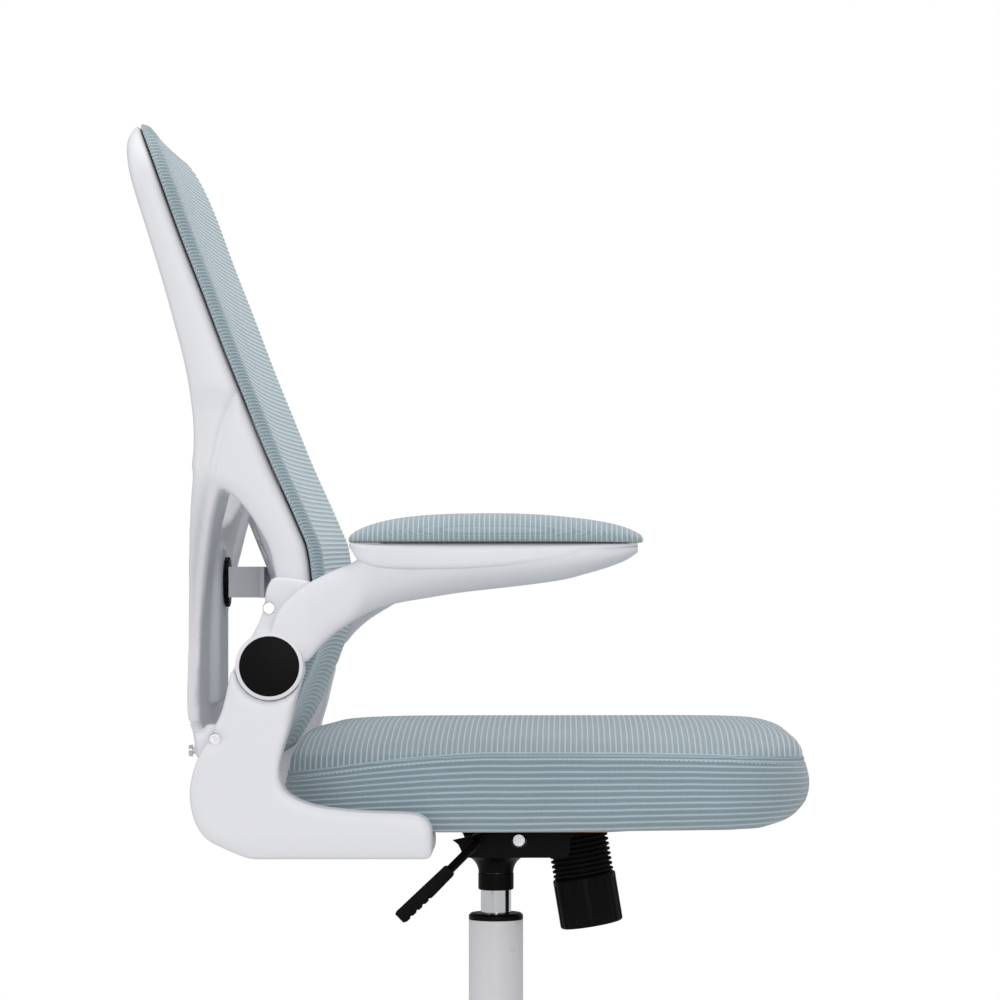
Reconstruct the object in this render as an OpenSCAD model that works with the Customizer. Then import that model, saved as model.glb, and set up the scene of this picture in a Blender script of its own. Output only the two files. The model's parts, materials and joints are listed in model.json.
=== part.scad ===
// Mesh-back office chair with flip-up arms, tilt mechanism, gas lift and five-star base.
// Millimetres. Origin on the floor under the gas lift, +X to the front, +Y to the sitter's left, +Z up.

/* [Seat] */
// Height of the seat board's underside above the floor
seat_z = 382; // [340:1:460]
// Front edge of the seat cushion ahead of the gas lift
seat_front = 281; // [250:1:320]
// Rear edge of the seat cushion behind the gas lift
seat_rear = 184; // [170:1:188]
// Half width of the seat cushion
seat_half_w = 240; // [225:1:244]
// Height of the cushion's sewn side band
seat_band_h = 70; // [50:1:85]
// Crown of the cushion's top panel above the side band
seat_crown = 19; // [8:1:30]
// Thickness of the seat board
seat_board_t = 11; // [8:1:16]

/* [Back] */
// Half width of the back frame
back_half_w = 225; // [200:1:228]
// Height of the bottom of the back frame above the floor
back_z0 = 436; // [420:1:450]
// Height of the top of the back frame above the floor
back_z1 = 1000; // [940:1:1060]
// Distance of the lumbar curve behind the gas lift
back_x0 = 150; // [140:1:158]
// Rake of the back frame from the lumbar curve to the top edge
back_rake = 165; // [140:1:180]
// Depth of a side rail of the back frame
rail_depth = 36; // [30:1:40]
// Width of a rail of the back frame
rail_w = 22; // [16:1:28]
// Half width of the central spine panel
spine_half_w = 131; // [110:1:150]

/* [Arms] */
// Distance of the arm pivots behind the gas lift
pivot_x = 187.5; // [182:0.5:192]
// Height of the arm pivots above the floor
pivot_z = 528; // [515:1:540]
// Diameter of the round hub at the arm pivot
hub_d = 58; // [52:1:62]
// Diameter of the cap over the arm pivot
cap_d = 51; // [44:1:51]
// Diameter of the arm's pivot pin
pivot_pin_d = 16; // [12:1:20]
// Length from the arm pivot to the front tip of the armrest
arm_reach = 316; // [290:1:340]
// Rise from the arm pivot to the underside of the arm pad
arm_rise = 105; // [95:1:115]
// Centre line of the armrest inside the bracket's outer face
arm_in = 14; // [0:1:18]
// Width of the arm pad
pad_w = 84; // [70:1:90]
// Thickness of the arm pad at its crown
pad_h = 24; // [18:1:32]

/* [Bracket] */
// Outer face of the arm bracket outside the back frame
bracket_out = 65; // [60:1:75]
// Thickness of the bracket's upright wall
bracket_wall = 38; // [30:1:39]
// Thickness of the bracket's foot under the seat
bracket_foot_t = 17; // [12:1:20]

/* [Gas lift] */
// Outer diameter of the column tube
tube_d = 50; // [46:1:54]
// Wall of the column tube
tube_wall = 1.8; // [1.2:0.1:2.5]
// Height of the top of the column tube
tube_z1 = 287; // [270:1:290]
// Height of the bottom of the column tube
tube_z0 = 58; // [54:1:64]
// Diameter of the gas cylinder
gas_d = 28; // [26:0.5:30]
// Diameter of the piston rod
rod_d = 10; // [8:0.5:12]
// Radial running clearance of turning and sliding fits
run_fit = 0.05; // [0.02:0.01:0.1]

/* [Mechanism] */
// Distance of the tilt pin ahead of the gas lift
pin_x = 22; // [18:1:26]
// Depth of the tilt pin below the seat board
pin_drop = 17; // [15:1:19]
// Diameter of the tilt pin
pin_d = 8; // [6:0.5:10]
// Outer half width of the mechanism housing
mech_half_w = 75; // [68:1:80]
// Thickness of the pressed steel
steel_t = 3; // [2:0.5:3.5]
// Lean of the tension knob's axis, bottom to the front
knob_lean = 9.5; // [5:0.5:12]
// Diameter of the tension knob
knob_d = 58; // [50:1:62]
// Height of the tension knob
knob_h = 46.5; // [36:0.5:50]
// Outer diameter of the ribbed boot over the spring
boot_d = 55.6; // [50:0.2:57]

/* [Base] */
// Distance of the casters from the gas lift
base_r = 290; // [260:1:300]
// Width of a leg at the hub
leg_w0 = 58; // [48:1:66]
// Width of a leg at the caster
leg_w1 = 38; // [32:1:44]
// Diameter of the caster wheels
wheel_d = 60; // [50:1:62]
// Width of one caster wheel
wheel_w = 19; // [16:1:21]
// Diameter of the caster stem
stem_d = 11; // [10:0.5:12]

/* [Hidden] */

$fn = 64;
white = [0.86, 0.86, 0.88];
black = [0.09, 0.09, 0.10];
steel = [0.75, 0.76, 0.78];
mesh_blue = [0.62, 0.70, 0.73];
cloth_blue = [0.56, 0.64, 0.67];
board_brown = [0.62, 0.50, 0.36];

over = 20;
seat_gap = 0.3;

// Shares along the back's height against shares of the rake, for the front face of the frame
front_shares = [[0, 0.34], [0.03, 0.30], [0.07, 0.23], [0.12, 0.165], [0.175, 0.085], [0.215, 0.05], [0.285, 0.036],
    [0.305, 0.042], [0.34, 0.06], [0.377, 0.11], [0.42, 0.175], [0.475, 0.26], [0.575, 0.40], [0.64, 0.49],
    [0.74, 0.62], [0.83, 0.74], [0.91, 0.84], [0.948, 0.89], [0.975, 0.93], [1, 0.97]];
// Shares along the height against shares of the rail depth: the rail steps back where the spine joins
depth_shares = [[0, 0.72], [0.115, 0.72], [0.215, 0.78], [0.30, 0.86], [0.36, 0.95], [0.40, 1.08], [0.43, 1.35],
    [0.452, 1.62], [0.49, 1.18], [0.535, 0.62], [0.596, 0.36], [0.604, 1.04], [0.62, 1.08], [0.66, 1.0],
    [0.74, 0.87], [0.83, 0.75], [0.91, 0.68], [0.948, 0.57], [0.975, 0.39], [0.99, 0.2], [1, 0.08]];
// Shares of the height at which the side rails have a ring of the loft
side_shares = [0.13, 0.175, 0.215, 0.26, 0.305, 0.34, 0.377, 0.415, 0.43, 0.452, 0.475, 0.49, 0.535, 0.565, 0.596,
    0.604, 0.62, 0.66, 0.70, 0.74, 0.785, 0.83, 0.87];

seat_over = 15;
bracket_y = max(back_half_w, seat_half_w - seat_over) + bracket_out;
arm_y = bracket_y - arm_in;
back_h = back_z1 - back_z0;
back_corner_r = 62;
back_foot_r = 62;
corner_steps = 7;
mesh_t = 3;
mesh_edge_t = 10;
rim_t = 2.5;
rim_w = 13;
rim_inset = 2;
mesh_hollow = 5;

function rake_at(z) = -back_x0 - back_rake * lookup((z - back_z0) / back_h, front_shares);
function depth_at(z) = rail_depth * lookup((z - back_z0) / back_h, depth_shares);

// Unit rounded section with n points, corners at power p, from 0 to 1 both ways
function unit_round(n, p) = [for (i = [0:1:n - 1])
    let (a = 360 * (i + 0.5) / n, c = cos(a), s = sin(a))
    [0.5 + 0.5 * sign(c) * pow(abs(c), 2 / p), 0.5 + 0.5 * sign(s) * pow(abs(s), 2 / p)]];

// Arc about a centre, from angle a to angle b
function arc(cx, cy, r, a, b, steps) = [for (i = [0:1:steps])
    let (t = a + (b - a) * i / steps) [cx + r * cos(t), cy + r * sin(t)]];

function mix(a, b, t) = a + (b - a) * t;

// Smooth open curve through points, with the same number of steps between neighbours
function smooth_line(p, steps) = [for (i = [0:1:len(p) - 2]) for (j = [0:1:i == len(p) - 2 ? steps : steps - 1])
    let (t = j / steps, a = p[max(i - 1, 0)], b = p[i], c = p[i + 1], d = p[min(i + 2, len(p) - 1)])
    0.5 * (2 * b + (c - a) * t + (2 * a - 5 * b + 4 * c - d) * t * t + (3 * b - a - 3 * c + d) * t * t * t)];
curve_steps = 4;

// Triangles of a skin over m rings of n points, joined end to end or closed by fans about two end centres
function skin_faces(m, n, joined) = concat(
    [for (i = [0:1:joined ? m - 1 : m - 2]) for (j = [0:1:n - 1]) for (k = [0, 1])
        let (a = i * n + j, b = i * n + (j + 1) % n, c = ((i + 1) % m) * n + (j + 1) % n, d = ((i + 1) % m) * n + j)
        k == 0 ? [a, b, c] : [a, c, d]],
    joined ? [] : [for (j = [0:1:n - 1]) for (k = [0, 1])
        k == 0 ? [m * n, (j + 1) % n, j] : [m * n + 1, (m - 1) * n + j, (m - 1) * n + (j + 1) % n]]);

function centre_of(ring) = [for (v = ring) 1] * ring / len(ring);

// Six times the volume that the triangles enclose, negative when they point outward clockwise
function volume6(pts, faces) = let (parts = [for (f = faces) cross(pts[f[0]], pts[f[1]]) * pts[f[2]]])
    parts * [for (v = parts) 1];

// Closed skin over rings, turned so that its faces point outward whichever way the rings run
module skin(rings, joined = false) {
    ends = joined ? [] : [centre_of(rings[0]), centre_of(rings[len(rings) - 1])];
    pts = concat([for (r = rings) each r], ends);
    faces = skin_faces(len(rings), len(rings[0]), joined);
    polyhedron(points = pts, faces = volume6(pts, faces) < 0 ? faces : [for (f = faces) [f[2], f[1], f[0]]]);
}

// Outline of the back in the Y-Z plane, drawn in by d, counter-clockwise seen from the front
function back_outline(d) = let (
        w = back_half_w, r1 = back_corner_r, r0 = back_foot_r,
        zs = [for (s = side_shares) back_z0 + back_h * s])
    concat(
        arc(w - r0, back_z0 + r0, r0 - d, -90, 0, corner_steps),
        [for (z = zs) [w - d, z]],
        arc(w - r1, back_z1 - r1, r1 - d, 0, 90, corner_steps),
        [for (s = [0.5, 0, -0.5]) [s * (w - r1), back_z1 - d]],
        arc(r1 - w, back_z1 - r1, r1 - d, 90, 180, corner_steps),
        [for (i = [len(zs) - 1:-1:0]) [d - w, zs[i]]],
        arc(r0 - w, back_z0 + r0, r0 - d, 180, 270, corner_steps),
        [for (s = [-0.5, 0, 0.5]) [s * (w - r0), back_z0 + d]]);

// Closed rail along the outline: width from d0 to d1, depth from the front face back by t0 to t1
function rail_rings(d0, d1, section, front_off, back_off, full_depth) =
    let (outlines = [for (q = section) back_outline(mix(d0, d1, q[0]))])
    [for (j = [0:1:len(outlines[0]) - 1])
        [for (k = [0:1:len(section) - 1])
            let (p = outlines[k][j], f = rake_at(p[1]) + front_off,
                b = full_depth ? rake_at(p[1]) - depth_at(p[1]) : f - back_off)
            [mix(b, f, section[k][1]), p[0], p[1]]]];

module back_frame() {
    color(white)
    difference() {
        union() {
            skin(rail_rings(0, rail_w, unit_round(12, 5), 0, 0, true), joined = true);
            for (side = [-1, 1])
                frame_boss(side);
        }
        for (side = [-1, 1]) {
            translate([-tab_screw_x, side * (back_half_w - rail_w / 2), tab_screw_z])
                rotate([90, 0, 0])
                    cylinder(d = screw_d + 2 * run_fit, h = 2 * over, center = true);
            translate([rake_at(bar_z) - 2 * depth_at(bar_z), side * bar_screw_y, bar_z])
                rotate([0, 90, 0])
                    cylinder(d = screw_d + 2 * run_fit, h = 1.7 * depth_at(bar_z));
        }
    }
}

// Boss on the side rail that the bracket's tab is screwed to
module frame_boss(side) {
    translate([-tab_screw_x, side * (back_half_w - rail_w / 2), tab_screw_z])
        rotate([90, 0, 0])
            cylinder(d = boss_d, h = rail_w - 2 * boss_inset, center = true);
}

// Height of the screws from the spine's standoffs into the frame's bottom rail
bar_z = back_z0 + rail_w / 2;

module mesh_rim() {
    color(black)
    skin(
        rail_rings(rim_inset, rim_inset + rim_w, unit_round(8, 6), rim_t + seat_gap, rim_t, false),
        joined = true);
}

// Padded edge and open field of the mesh, in rings from the rim to the middle
edge_shares = [[0.0, 0.0], [0.0, 0.55], [0.25, 0.93], [0.7, 1.0], [1.15, 0.95]];
field_shares = [0.86, 0.72, 0.54, 0.34, 0.14];
function mesh_front(y, z) = rake_at(z) + rim_t + mesh_edge_t - mesh_hollow * (1 - pow(y / back_half_w, 2));
function mesh_field(k, off) = [for (p = back_outline(rim_w * 1.3))
    let (mid = (back_z0 + back_z1) / 2, y = p[0] * k, z = mid + (p[1] - mid) * k)
    [mesh_front(y, z) + off, y, z]];
function mesh_edge(q) = [for (p = back_outline(rim_w * q[0]))
    [mix(rake_at(p[1]) + rim_t + 2 * seat_gap, mesh_front(p[0], p[1]), q[1]), p[0], p[1]]];
module back_mesh() {
    color(mesh_blue)
    skin(concat(
        [for (i = [len(field_shares) - 1:-1:0]) mesh_field(field_shares[i], -mesh_t)],
        [for (q = edge_shares) mesh_edge(q)],
        [for (k = field_shares) mesh_field(k, 0)]));
}

// Side outline of the spine in shares: height share against distance behind the gas lift
spine_rear_shares = [[0.596, 1.0], [0.53, 0.985], [0.46, 0.99], [0.39, 1.01], [0.32, 1.03], [0.19, 1.035],
    [0.11, 1.04], [0.05, 1.04], [0.01, 1.02], [-0.012, 1.0]];
spine_front_shares = [[-0.012, 0.955], [0.03, 0.985], [0.08, 0.995], [0.19, 0.992], [0.275, 0.985], [0.335, 0.968],
    [0.39, 0.952], [0.444, 0.944]];
// Height shares where the spine's arms lie against the back of the frame's rails
spine_seat_shares = [0.475, 0.49, 0.535, 0.565, 0.596];
spine_stand = 1.9;
spine_reach = depth_at(back_z0 + 0.604 * back_h) - rake_at(back_z0 + 0.604 * back_h) + spine_stand;
spine_arm_w = 26;
slot_w = 12;
slot_travel = 20;
lumbar_z = 597;
function spine_rear(z) = spine_reach * lookup((z - back_z0) / back_h, spine_rear_shares);
module spine_side() {
    polygon(concat(
        [for (q = concat(spine_rear_shares, spine_front_shares)) [-spine_reach * q[1], back_z0 + back_h * q[0]]],
        [for (h = spine_seat_shares) let (z = back_z0 + back_h * h) [rake_at(z) - depth_at(z) - seat_gap, z]]));
}

// Half outline of the spine seen from the back: height share against half width, outer then inner edge
function spine_outer() = [
    each [for (q = [[0.01, 0.596], [0.02, 0.52], [0.15, 0.46], [0.45, 0.40], [0.79, 0.34]])
        [mix(back_half_w, spine_half_w, q[0]), q[1]]],
    [1.02 * spine_half_w, 0.28], [spine_half_w, 0.22], [spine_half_w, 0.10],
    [mix(spine_half_w, foot_y, 0.1), 0.07], [mix(spine_half_w, foot_y, 0.88), 0.062],
    [foot_y, 0.058], [foot_y, -0.012]];
function spine_inner() = [
    each [for (q = [[0, 0.596], [0.04, 0.53], [0.21, 0.47], [0.55, 0.41]])
        [mix(back_half_w, spine_half_w, q[0]) - spine_arm_w, q[1]]],
    [0.7 * spine_half_w, 0.371], [0.39 * spine_half_w, 0.352], [0, spine_valley_share]];
spine_valley_share = 0.345;
foot_y = bracket_y - bracket_wall - seat_gap;
module spine_front() {
    for (side = [0, 1])
        mirror([side, 0])
            polygon(concat(
                [for (q = spine_outer()) [q[0], back_z0 + back_h * q[1]]],
                [[-0.5 * slot_w, back_z0 - 0.012 * back_h],
                    [-0.5 * slot_w, back_z0 + spine_valley_share * back_h]],
                [for (i = [len(spine_inner()) - 1:-1:0])
                    [spine_inner()[i][0], back_z0 + back_h * spine_inner()[i][1]]]));
}

module back_spine() {
    color(white)
    difference() {
        union() {
            intersection() {
                rotate([90, 0, 0])
                    linear_extrude(height = 4 * back_half_w, center = true)
                        spine_side();
                rotate([90, 0, -90])
                    linear_extrude(height = 2 * spine_reach, convexity = 6)
                        mirror([1, 0])
                            spine_front();
            }
            spine_rib();
            for (side = [-1, 1]) {
                spine_ear(side);
                spine_standoff(side);
            }
        }
        spine_slot();
        for (side = [-1, 1])
            translate([-ear_screw_x, side * foot_y, ear_screw_z])
                rotate([90, 0, 0])
                    cylinder(d = screw_d + 2 * run_fit, h = 3 * over, center = true);
        for (side = [-1, 1])
            translate([-spine_reach - over, side * bar_screw_y, bar_z])
                rotate([0, 90, 0])
                    cylinder(d = screw_d + 2 * run_fit, h = 4 * over);
    }
}

// Standoff that reaches forward to the frame's bottom rail
module spine_standoff(side) {
    x0 = -spine_reach * rib_root_share;
    z0 = bar_z - standoff_d / 2;
    translate([x0, side * bar_screw_y, bar_z])
        rotate([0, 90, 0])
            cylinder(d = standoff_d, h = rake_at(z0) - depth_at(z0) - seat_gap - x0);
}

// Raised rib down the middle of the spine's front face
rib_half_w = 45;
rib_t = 10;
rib_root_share = 0.99;
rib_shares = [0.09, 0.335];
module spine_rib() {
    translate([-spine_reach * rib_root_share, -rib_half_w, back_z0 + rib_shares[0] * back_h])
        cube([rib_t, 2 * rib_half_w, (rib_shares[1] - rib_shares[0]) * back_h]);
}

// Slot that the lumbar stud slides in
module spine_slot() {
    for (s = [-1, 1])
        translate([-spine_reach - over, 0, lumbar_z + s * (slot_travel + seat_gap)])
            rotate([0, 90, 0])
                cylinder(d = slot_w + 4 * run_fit, h = 3 * over);
    translate([-spine_reach - over, -slot_w / 2 - 2 * run_fit, lumbar_z - slot_travel - seat_gap])
        cube([3 * over, slot_w + 4 * run_fit, 2 * (slot_travel + seat_gap)]);
}

// Ear at the end of the spine's foot, screwed to the bracket
ear_set = 28;
ear_screw_x = spine_reach - ear_set;
ear_screw_z = 466;
ear_t = 24;
module spine_ear(side) {
    translate([-ear_screw_x, side * (foot_y - ear_t / 2), ear_screw_z])
        rotate([90, 0, 0])
            cylinder(d = boss_d, h = ear_t, center = true);
    translate([-spine_reach, side * (foot_y - ear_t / 2) - ear_t / 2, back_z0])
        cube([spine_reach - ear_screw_x, ear_t, ear_screw_z + boss_d / 2 - back_z0]);
}

screw_d = 6;
boss_inset = 1.5;
thread_end = 4;
screw_recess = 5;
head_play = 1;
head_d = 11;
head_h = 3.2;
boss_d = 22;
standoff_d = 18;
tab_screw_x = 190;
tab_screw_z = 577;
bar_screw_y = 100;

// Screw along +Z with a dished pan head below zero
module screw(length, d = screw_d, head = head_d, rise = head_h) {
    cylinder(d = d, h = length);
    difference() {
        translate([0, 0, -rise])
            cylinder(d1 = head - rise / 2, d2 = head, h = rise);
        translate([0, 0, -rise - seat_gap])
            cylinder(d = head / 2, h = rise / 2, $fn = 6);
    }
}

module spine_screws() {
    color(steel)
    for (side = [-1, 1])
        translate([-spine_rear(bar_z + head_d / 2) - run_fit, side * bar_screw_y, bar_z])
            rotate([0, 90, 0])
                screw(spine_rear(bar_z + head_d / 2) + rake_at(bar_z) - 0.4 * depth_at(bar_z));
}

module back_screws() {
    color(steel)
    for (side = [-1, 1]) {
        translate([-tab_screw_x, side * (tab_y1 - head_h), tab_screw_z])
            rotate([side * 90, 0, 0])
                screw(tab_y1 - head_h - back_half_w + rail_w - thread_end);
        translate([-ear_screw_x, side * (bracket_y - screw_recess - head_h), ear_screw_z])
            rotate([side * 90, 0, 0])
                screw(bracket_wall - screw_recess + ear_t - 2 * thread_end);
    }
}

// Lumbar support: stud in the spine's slot, clamp disc, arm and pocketed pad
disc_d = 43;
disc_t = 4.5;
disc_set = 13;
disc_x = spine_reach - disc_set;
lumbar_arm_h = 28;
lumbar_arm_w = 44;
lumbar_reach = 39;
lumbar_arm_x = disc_x - lumbar_reach;
lumbar_flange_t = 4;
module lumbar_stud() {
    color(steel)
    translate([-spine_reach * 1.03, 0, lumbar_z])
        rotate([0, 90, 0]) {
            cylinder(d = slot_w, h = spine_reach * 1.03 - disc_x - seat_gap / 3);
            cylinder(d = slot_w / 2, h = spine_reach * 1.03 - disc_x + 2 * disc_t);
        }
}

module lumbar_disc() {
    color(black)
    translate([-disc_x, 0, lumbar_z])
        rotate([0, 90, 0])
            difference() {
                union() {
                    cylinder(d = disc_d, h = disc_t);
                    for (a = [0:30:330])
                        rotate(a)
                            translate([disc_d / 2 - head_play, 0, 0])
                                cylinder(d = disc_t, h = disc_t);
                }
                translate([0, 0, -over])
                    cylinder(d = slot_w / 2 + 2 * run_fit, h = 2 * over);
            }
}

module lumbar_arm() {
    color(white)
    difference() {
        union() {
            translate([-disc_x + disc_t + seat_gap, -lumbar_arm_w / 2, lumbar_z - lumbar_arm_h / 2])
                cube([disc_x - disc_t - seat_gap - lumbar_arm_x, lumbar_arm_w, lumbar_arm_h]);
            translate([-lumbar_arm_x - lumbar_flange_t, -lumbar_arm_w, lumbar_z - lumbar_arm_h / 2])
                cube([lumbar_flange_t, 2 * lumbar_arm_w, lumbar_arm_h]);
        }
        translate([-disc_x, 0, lumbar_z])
            rotate([0, 90, 0])
                cylinder(d = slot_w / 2 + 2 * run_fit, h = 4 * disc_t);
    }
}

// Bowed plate with rows of square pockets, behind the mesh
lumbar_pad_w = 230;
lumbar_pad_h = 74;
lumbar_lean = 22;
lumbar_pad_t = 6;
lumbar_bow = 12;
pocket = 13;
pocket_rim = 5;
module lumbar_pad() {
    bow_r = (pow(lumbar_pad_w / 2, 2) + pow(lumbar_bow, 2)) / (2 * lumbar_bow);
    color(white)
    translate([seat_gap - lumbar_arm_x, 0, lumbar_z + lumbar_arm_h / 2])
    rotate([0, -lumbar_lean, 0])
    translate([lumbar_arm_x - seat_gap, 0, -lumbar_z - lumbar_arm_h / 2])
    difference() {
        intersection() {
            translate([-lumbar_arm_x + seat_gap + bow_r, 0, lumbar_z - lumbar_arm_h / 2])
                difference() {
                    cylinder(r = bow_r, h = lumbar_pad_h, $fn = 180);
                    translate([0, 0, -over])
                        cylinder(r = bow_r - lumbar_pad_t, h = lumbar_pad_h + 2 * over, $fn = 180);
                }
            translate([-lumbar_arm_x - over, -lumbar_pad_w / 2, lumbar_z - lumbar_arm_h])
                cube([lumbar_bow + lumbar_pad_t + over, lumbar_pad_w, 2 * lumbar_pad_h]);
        }
        for (i = [-3.5:1:3.5])
            for (j = [0:1:1])
                translate([-lumbar_arm_x - over, i * 2 * pocket - pocket / 2,
                    lumbar_z + lumbar_arm_h / 2 + pocket_rim + j * (pocket + pocket_rim)])
                    cube([3 * over, pocket, pocket]);
    }
}

// Arm bracket: side outline in shares of its length and height, from the pivot
br_len = 203;
br_h = 164;
br_rear_shares = [[-0.16, -0.0], [-0.195, -0.21], [-0.23, -0.31], [-0.265, -0.40], [-0.30, -0.475], [-0.325, -0.57],
    [-0.335, -0.66], [-0.325, -0.76], [-0.30, -0.84], [-0.26, -0.90], [-0.20, -0.94], [-0.135, -0.975], [-0.08, -1.0]];
br_end_shares = [[0.66, -1.0], [0.675, -0.994], [0.68, -0.975], [0.68, -0.86], [0.675, -0.825], [0.655, -0.79],
    [0.62, -0.768], [0.58, -0.762]];
br_front_shares = [[0.52, -0.76], [0.40, -0.755], [0.30, -0.745], [0.21, -0.73], [0.15, -0.71], [0.105, -0.685],
    [0.065, -0.65], [0.045, -0.60], [0.038, -0.55], [0.045, -0.49], [0.06, -0.41], [0.08, -0.33], [0.11, -0.17],
    [0.135, -0.06], [0.14, 0.0]];
br_tab_shares = [[0.10, 0.22], [0.14, 0.25], [0.16, 0.29], [0.165, 0.34], [0.165, 0.43], [0.15, 0.445], [0.02, 0.465],
    [0.0, 0.455], [-0.015, 0.43], [-0.03, 0.38], [-0.035, 0.30], [-0.05, 0.24], [-0.095, 0.13], [-0.14, 0.05]];
tab_back = 33;
tab_y1 = bracket_y - tab_back;
module bracket_side() {
    polygon([for (q = concat(smooth_line(br_rear_shares, curve_steps), br_end_shares,
        smooth_line(br_front_shares, curve_steps))) [-pivot_x + br_len * q[0], pivot_z + br_h * q[1]]]);
    translate([-pivot_x, pivot_z])
        circle(d = hub_d);
}
module tab_side() {
    polygon([for (q = concat(br_tab_shares, [[-0.14, -0.05], [0.0, -0.15], [0.14, -0.05]]))
        [-pivot_x + br_len * q[0], pivot_z + br_h * q[1]]]);
}

// Front view of the bracket: foot inward under the seat, wall outside the cushion
foot_in_y = 168;
bracket_draft = 3;
function bracket_front() = let (z0 = pivot_z - br_h - over, z1 = pivot_z + hub_d, iy = bracket_y - bracket_wall,
        hub_y = arm_y - arm_hub_t / 2 - seat_gap, foot_z = seat_z - seat_gap)
    [[foot_in_y, z0], [bracket_y - bracket_draft, z0], [bracket_y - bracket_draft / 3, foot_z - bracket_foot_t],
    [bracket_y, foot_z], [bracket_y - bracket_draft, pivot_z - 2 * cap_edge_h], [hub_y, pivot_z - cap_edge_h],
    [hub_y, z1], [iy, z1], [iy, foot_z], [foot_in_y, foot_z]];
cap_edge_h = 2;
arm_hub_t = 24;

module arm_bracket() {
    color(white)
    difference() {
        union() {
            intersection() {
                rotate([90, 0, 0])
                    linear_extrude(height = 4 * bracket_y, center = true)
                        bracket_side();
                rotate([90, 0, 90])
                    linear_extrude(height = 4 * br_len, center = true)
                        polygon(bracket_front());
            }
            translate([0, tab_y1, 0])
                rotate([90, 0, 0])
                    linear_extrude(height = tab_y1 - back_half_w - seat_gap)
                        tab_side();
        }
        translate([-pivot_x, bracket_y, pivot_z])
            rotate([90, 0, 0])
                cylinder(d = pivot_pin_d + 2 * run_fit, h = 2 * bracket_wall);
        translate([-pivot_x, arm_y - arm_hub_t / 2 - seat_gap, pivot_z])
            rotate([-90, 0, 0])
                cylinder(d = hub_d + 2 * seat_gap, h = bracket_wall);
        translate([-pivot_x, 0, pivot_z])
            rotate([-90, 0, 0])
                cylinder(d = pin_head_d + 2 * head_play, h = bracket_y - bracket_wall);
        translate([-tab_screw_x, 0, tab_screw_z])
            rotate([-90, 0, 0]) {
                cylinder(d = screw_d + 2 * run_fit, h = 2 * bracket_y);
                translate([0, 0, tab_y1 - head_h])
                    cylinder(d = head_d + 2 * head_play, h = over);
            }
        translate([-ear_screw_x, 0, ear_screw_z])
            rotate([-90, 0, 0]) {
                cylinder(d = screw_d + 2 * run_fit, h = 2 * bracket_y);
                translate([0, 0, bracket_y - screw_recess - head_h])
                    cylinder(d = head_d + 2 * head_play, h = over);
            }
        for (x = bolt_xs)
            translate([x, bracket_bolt_y, 0])
                cylinder(d = bolt_d + 2 * run_fit, h = 2 * seat_z);
    }
}
bolt_d = 6;
bolt_head_d = 13;
bolt_head_h = 4;
bolt_end = 3;
bolt_hole_end = 2;
bolt_xs = [-140, -80];
bracket_bolt_y = 190;

module arm_bracket_left() {
    arm_bracket();
}
module arm_bracket_right() {
    mirror([0, 1, 0])
        arm_bracket();
}

module bracket_bolts() {
    color(steel)
    for (side = [-1, 1])
        for (x = bolt_xs)
            translate([x, side * bracket_bolt_y, pivot_z - br_h])
                screw(seat_z + seat_board_t - bolt_end - pivot_z + br_h, bolt_d, bolt_head_d, bolt_head_h);
}

pin_head_w = 5;
pin_head_d = pivot_pin_d + 2 * pin_head_w;
// Pivot pin through the bracket, with a head inside and the arm turning on its outer end
module pivot_pins() {
    color(steel)
    for (side = [-1, 1])
        translate([-pivot_x, side * (bracket_y - bracket_wall), pivot_z])
            rotate([-side * 90, 0, 0]) {
                translate([0, 0, -bolt_head_h])
                    cylinder(d = pin_head_d, h = bolt_head_h - run_fit);
                translate([0, 0, -bolt_head_h])
                    cylinder(d = pivot_pin_d, h = arm_hub_t / 2 - cap_t - 2 * seat_gap - arm_in + bracket_wall + bolt_head_h);
            }
}

// Arm: share of the reach against shares of the rise for the lower and upper edge, and share of the half width
arm_half_w = 38;
arm_shares = [[-0.03, 0.02, 0.2, 0.263], [-0.005, 0.01, 0.255, 0.276], [0.02, 0.0, 0.44, 0.289], [0.06, 0.0, 0.575, 0.3],
    [0.10, 0.04, 0.665, 0.305], [0.14, 0.17, 0.73, 0.382], [0.18, 0.275, 0.785, 0.434],
    [0.21, 0.335, 0.82, 0.474], [0.235, 0.38, 0.862, 0.553], [0.27, 0.44, 0.93, 0.684],
    [0.31, 0.485, 0.97, 0.789], [0.36, 0.52, 0.97, 0.868], [0.42, 0.55, 0.97, 0.934],
    [0.50, 0.59, 0.97, 0.974], [0.60, 0.625, 0.97, 1], [0.70, 0.66, 0.97, 1], [0.79, 0.70, 0.97, 0.974],
    [0.86, 0.755, 0.97, 0.921], [0.92, 0.81, 0.97, 0.816], [0.96, 0.86, 0.97, 0.684],
    [0.99, 0.92, 0.97, 0.421]];
keel_n = 20;
// Tray under the pad: share of the reach, share of the pad's half width, share of the rise of its lower edge
tray_shares = [[0.2135, 0.27, 0.965], [0.222, 0.42, 0.933], [0.235, 0.55, 0.87], [0.27, 0.71, 0.81],
    [0.31, 0.82, 0.785], [0.40, 0.91, 0.772], [0.50, 0.935, 0.775], [0.60, 0.935, 0.79], [0.70, 0.92, 0.825],
    [0.79, 0.89, 0.865], [0.86, 0.83, 0.91], [0.92, 0.72, 0.94], [0.96, 0.58, 0.958], [0.99, 0.36, 0.972]];
tray_top = 0.995;
tray_n = 16;
function tray_ring(q) = [for (k = unit_round(tray_n, 6))
    [-pivot_x + arm_reach * q[0], arm_y + pad_w / 2 * q[1] * (2 * k[0] - 1),
        pivot_z + arm_rise * mix(q[2], tray_top, k[1])]];
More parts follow.
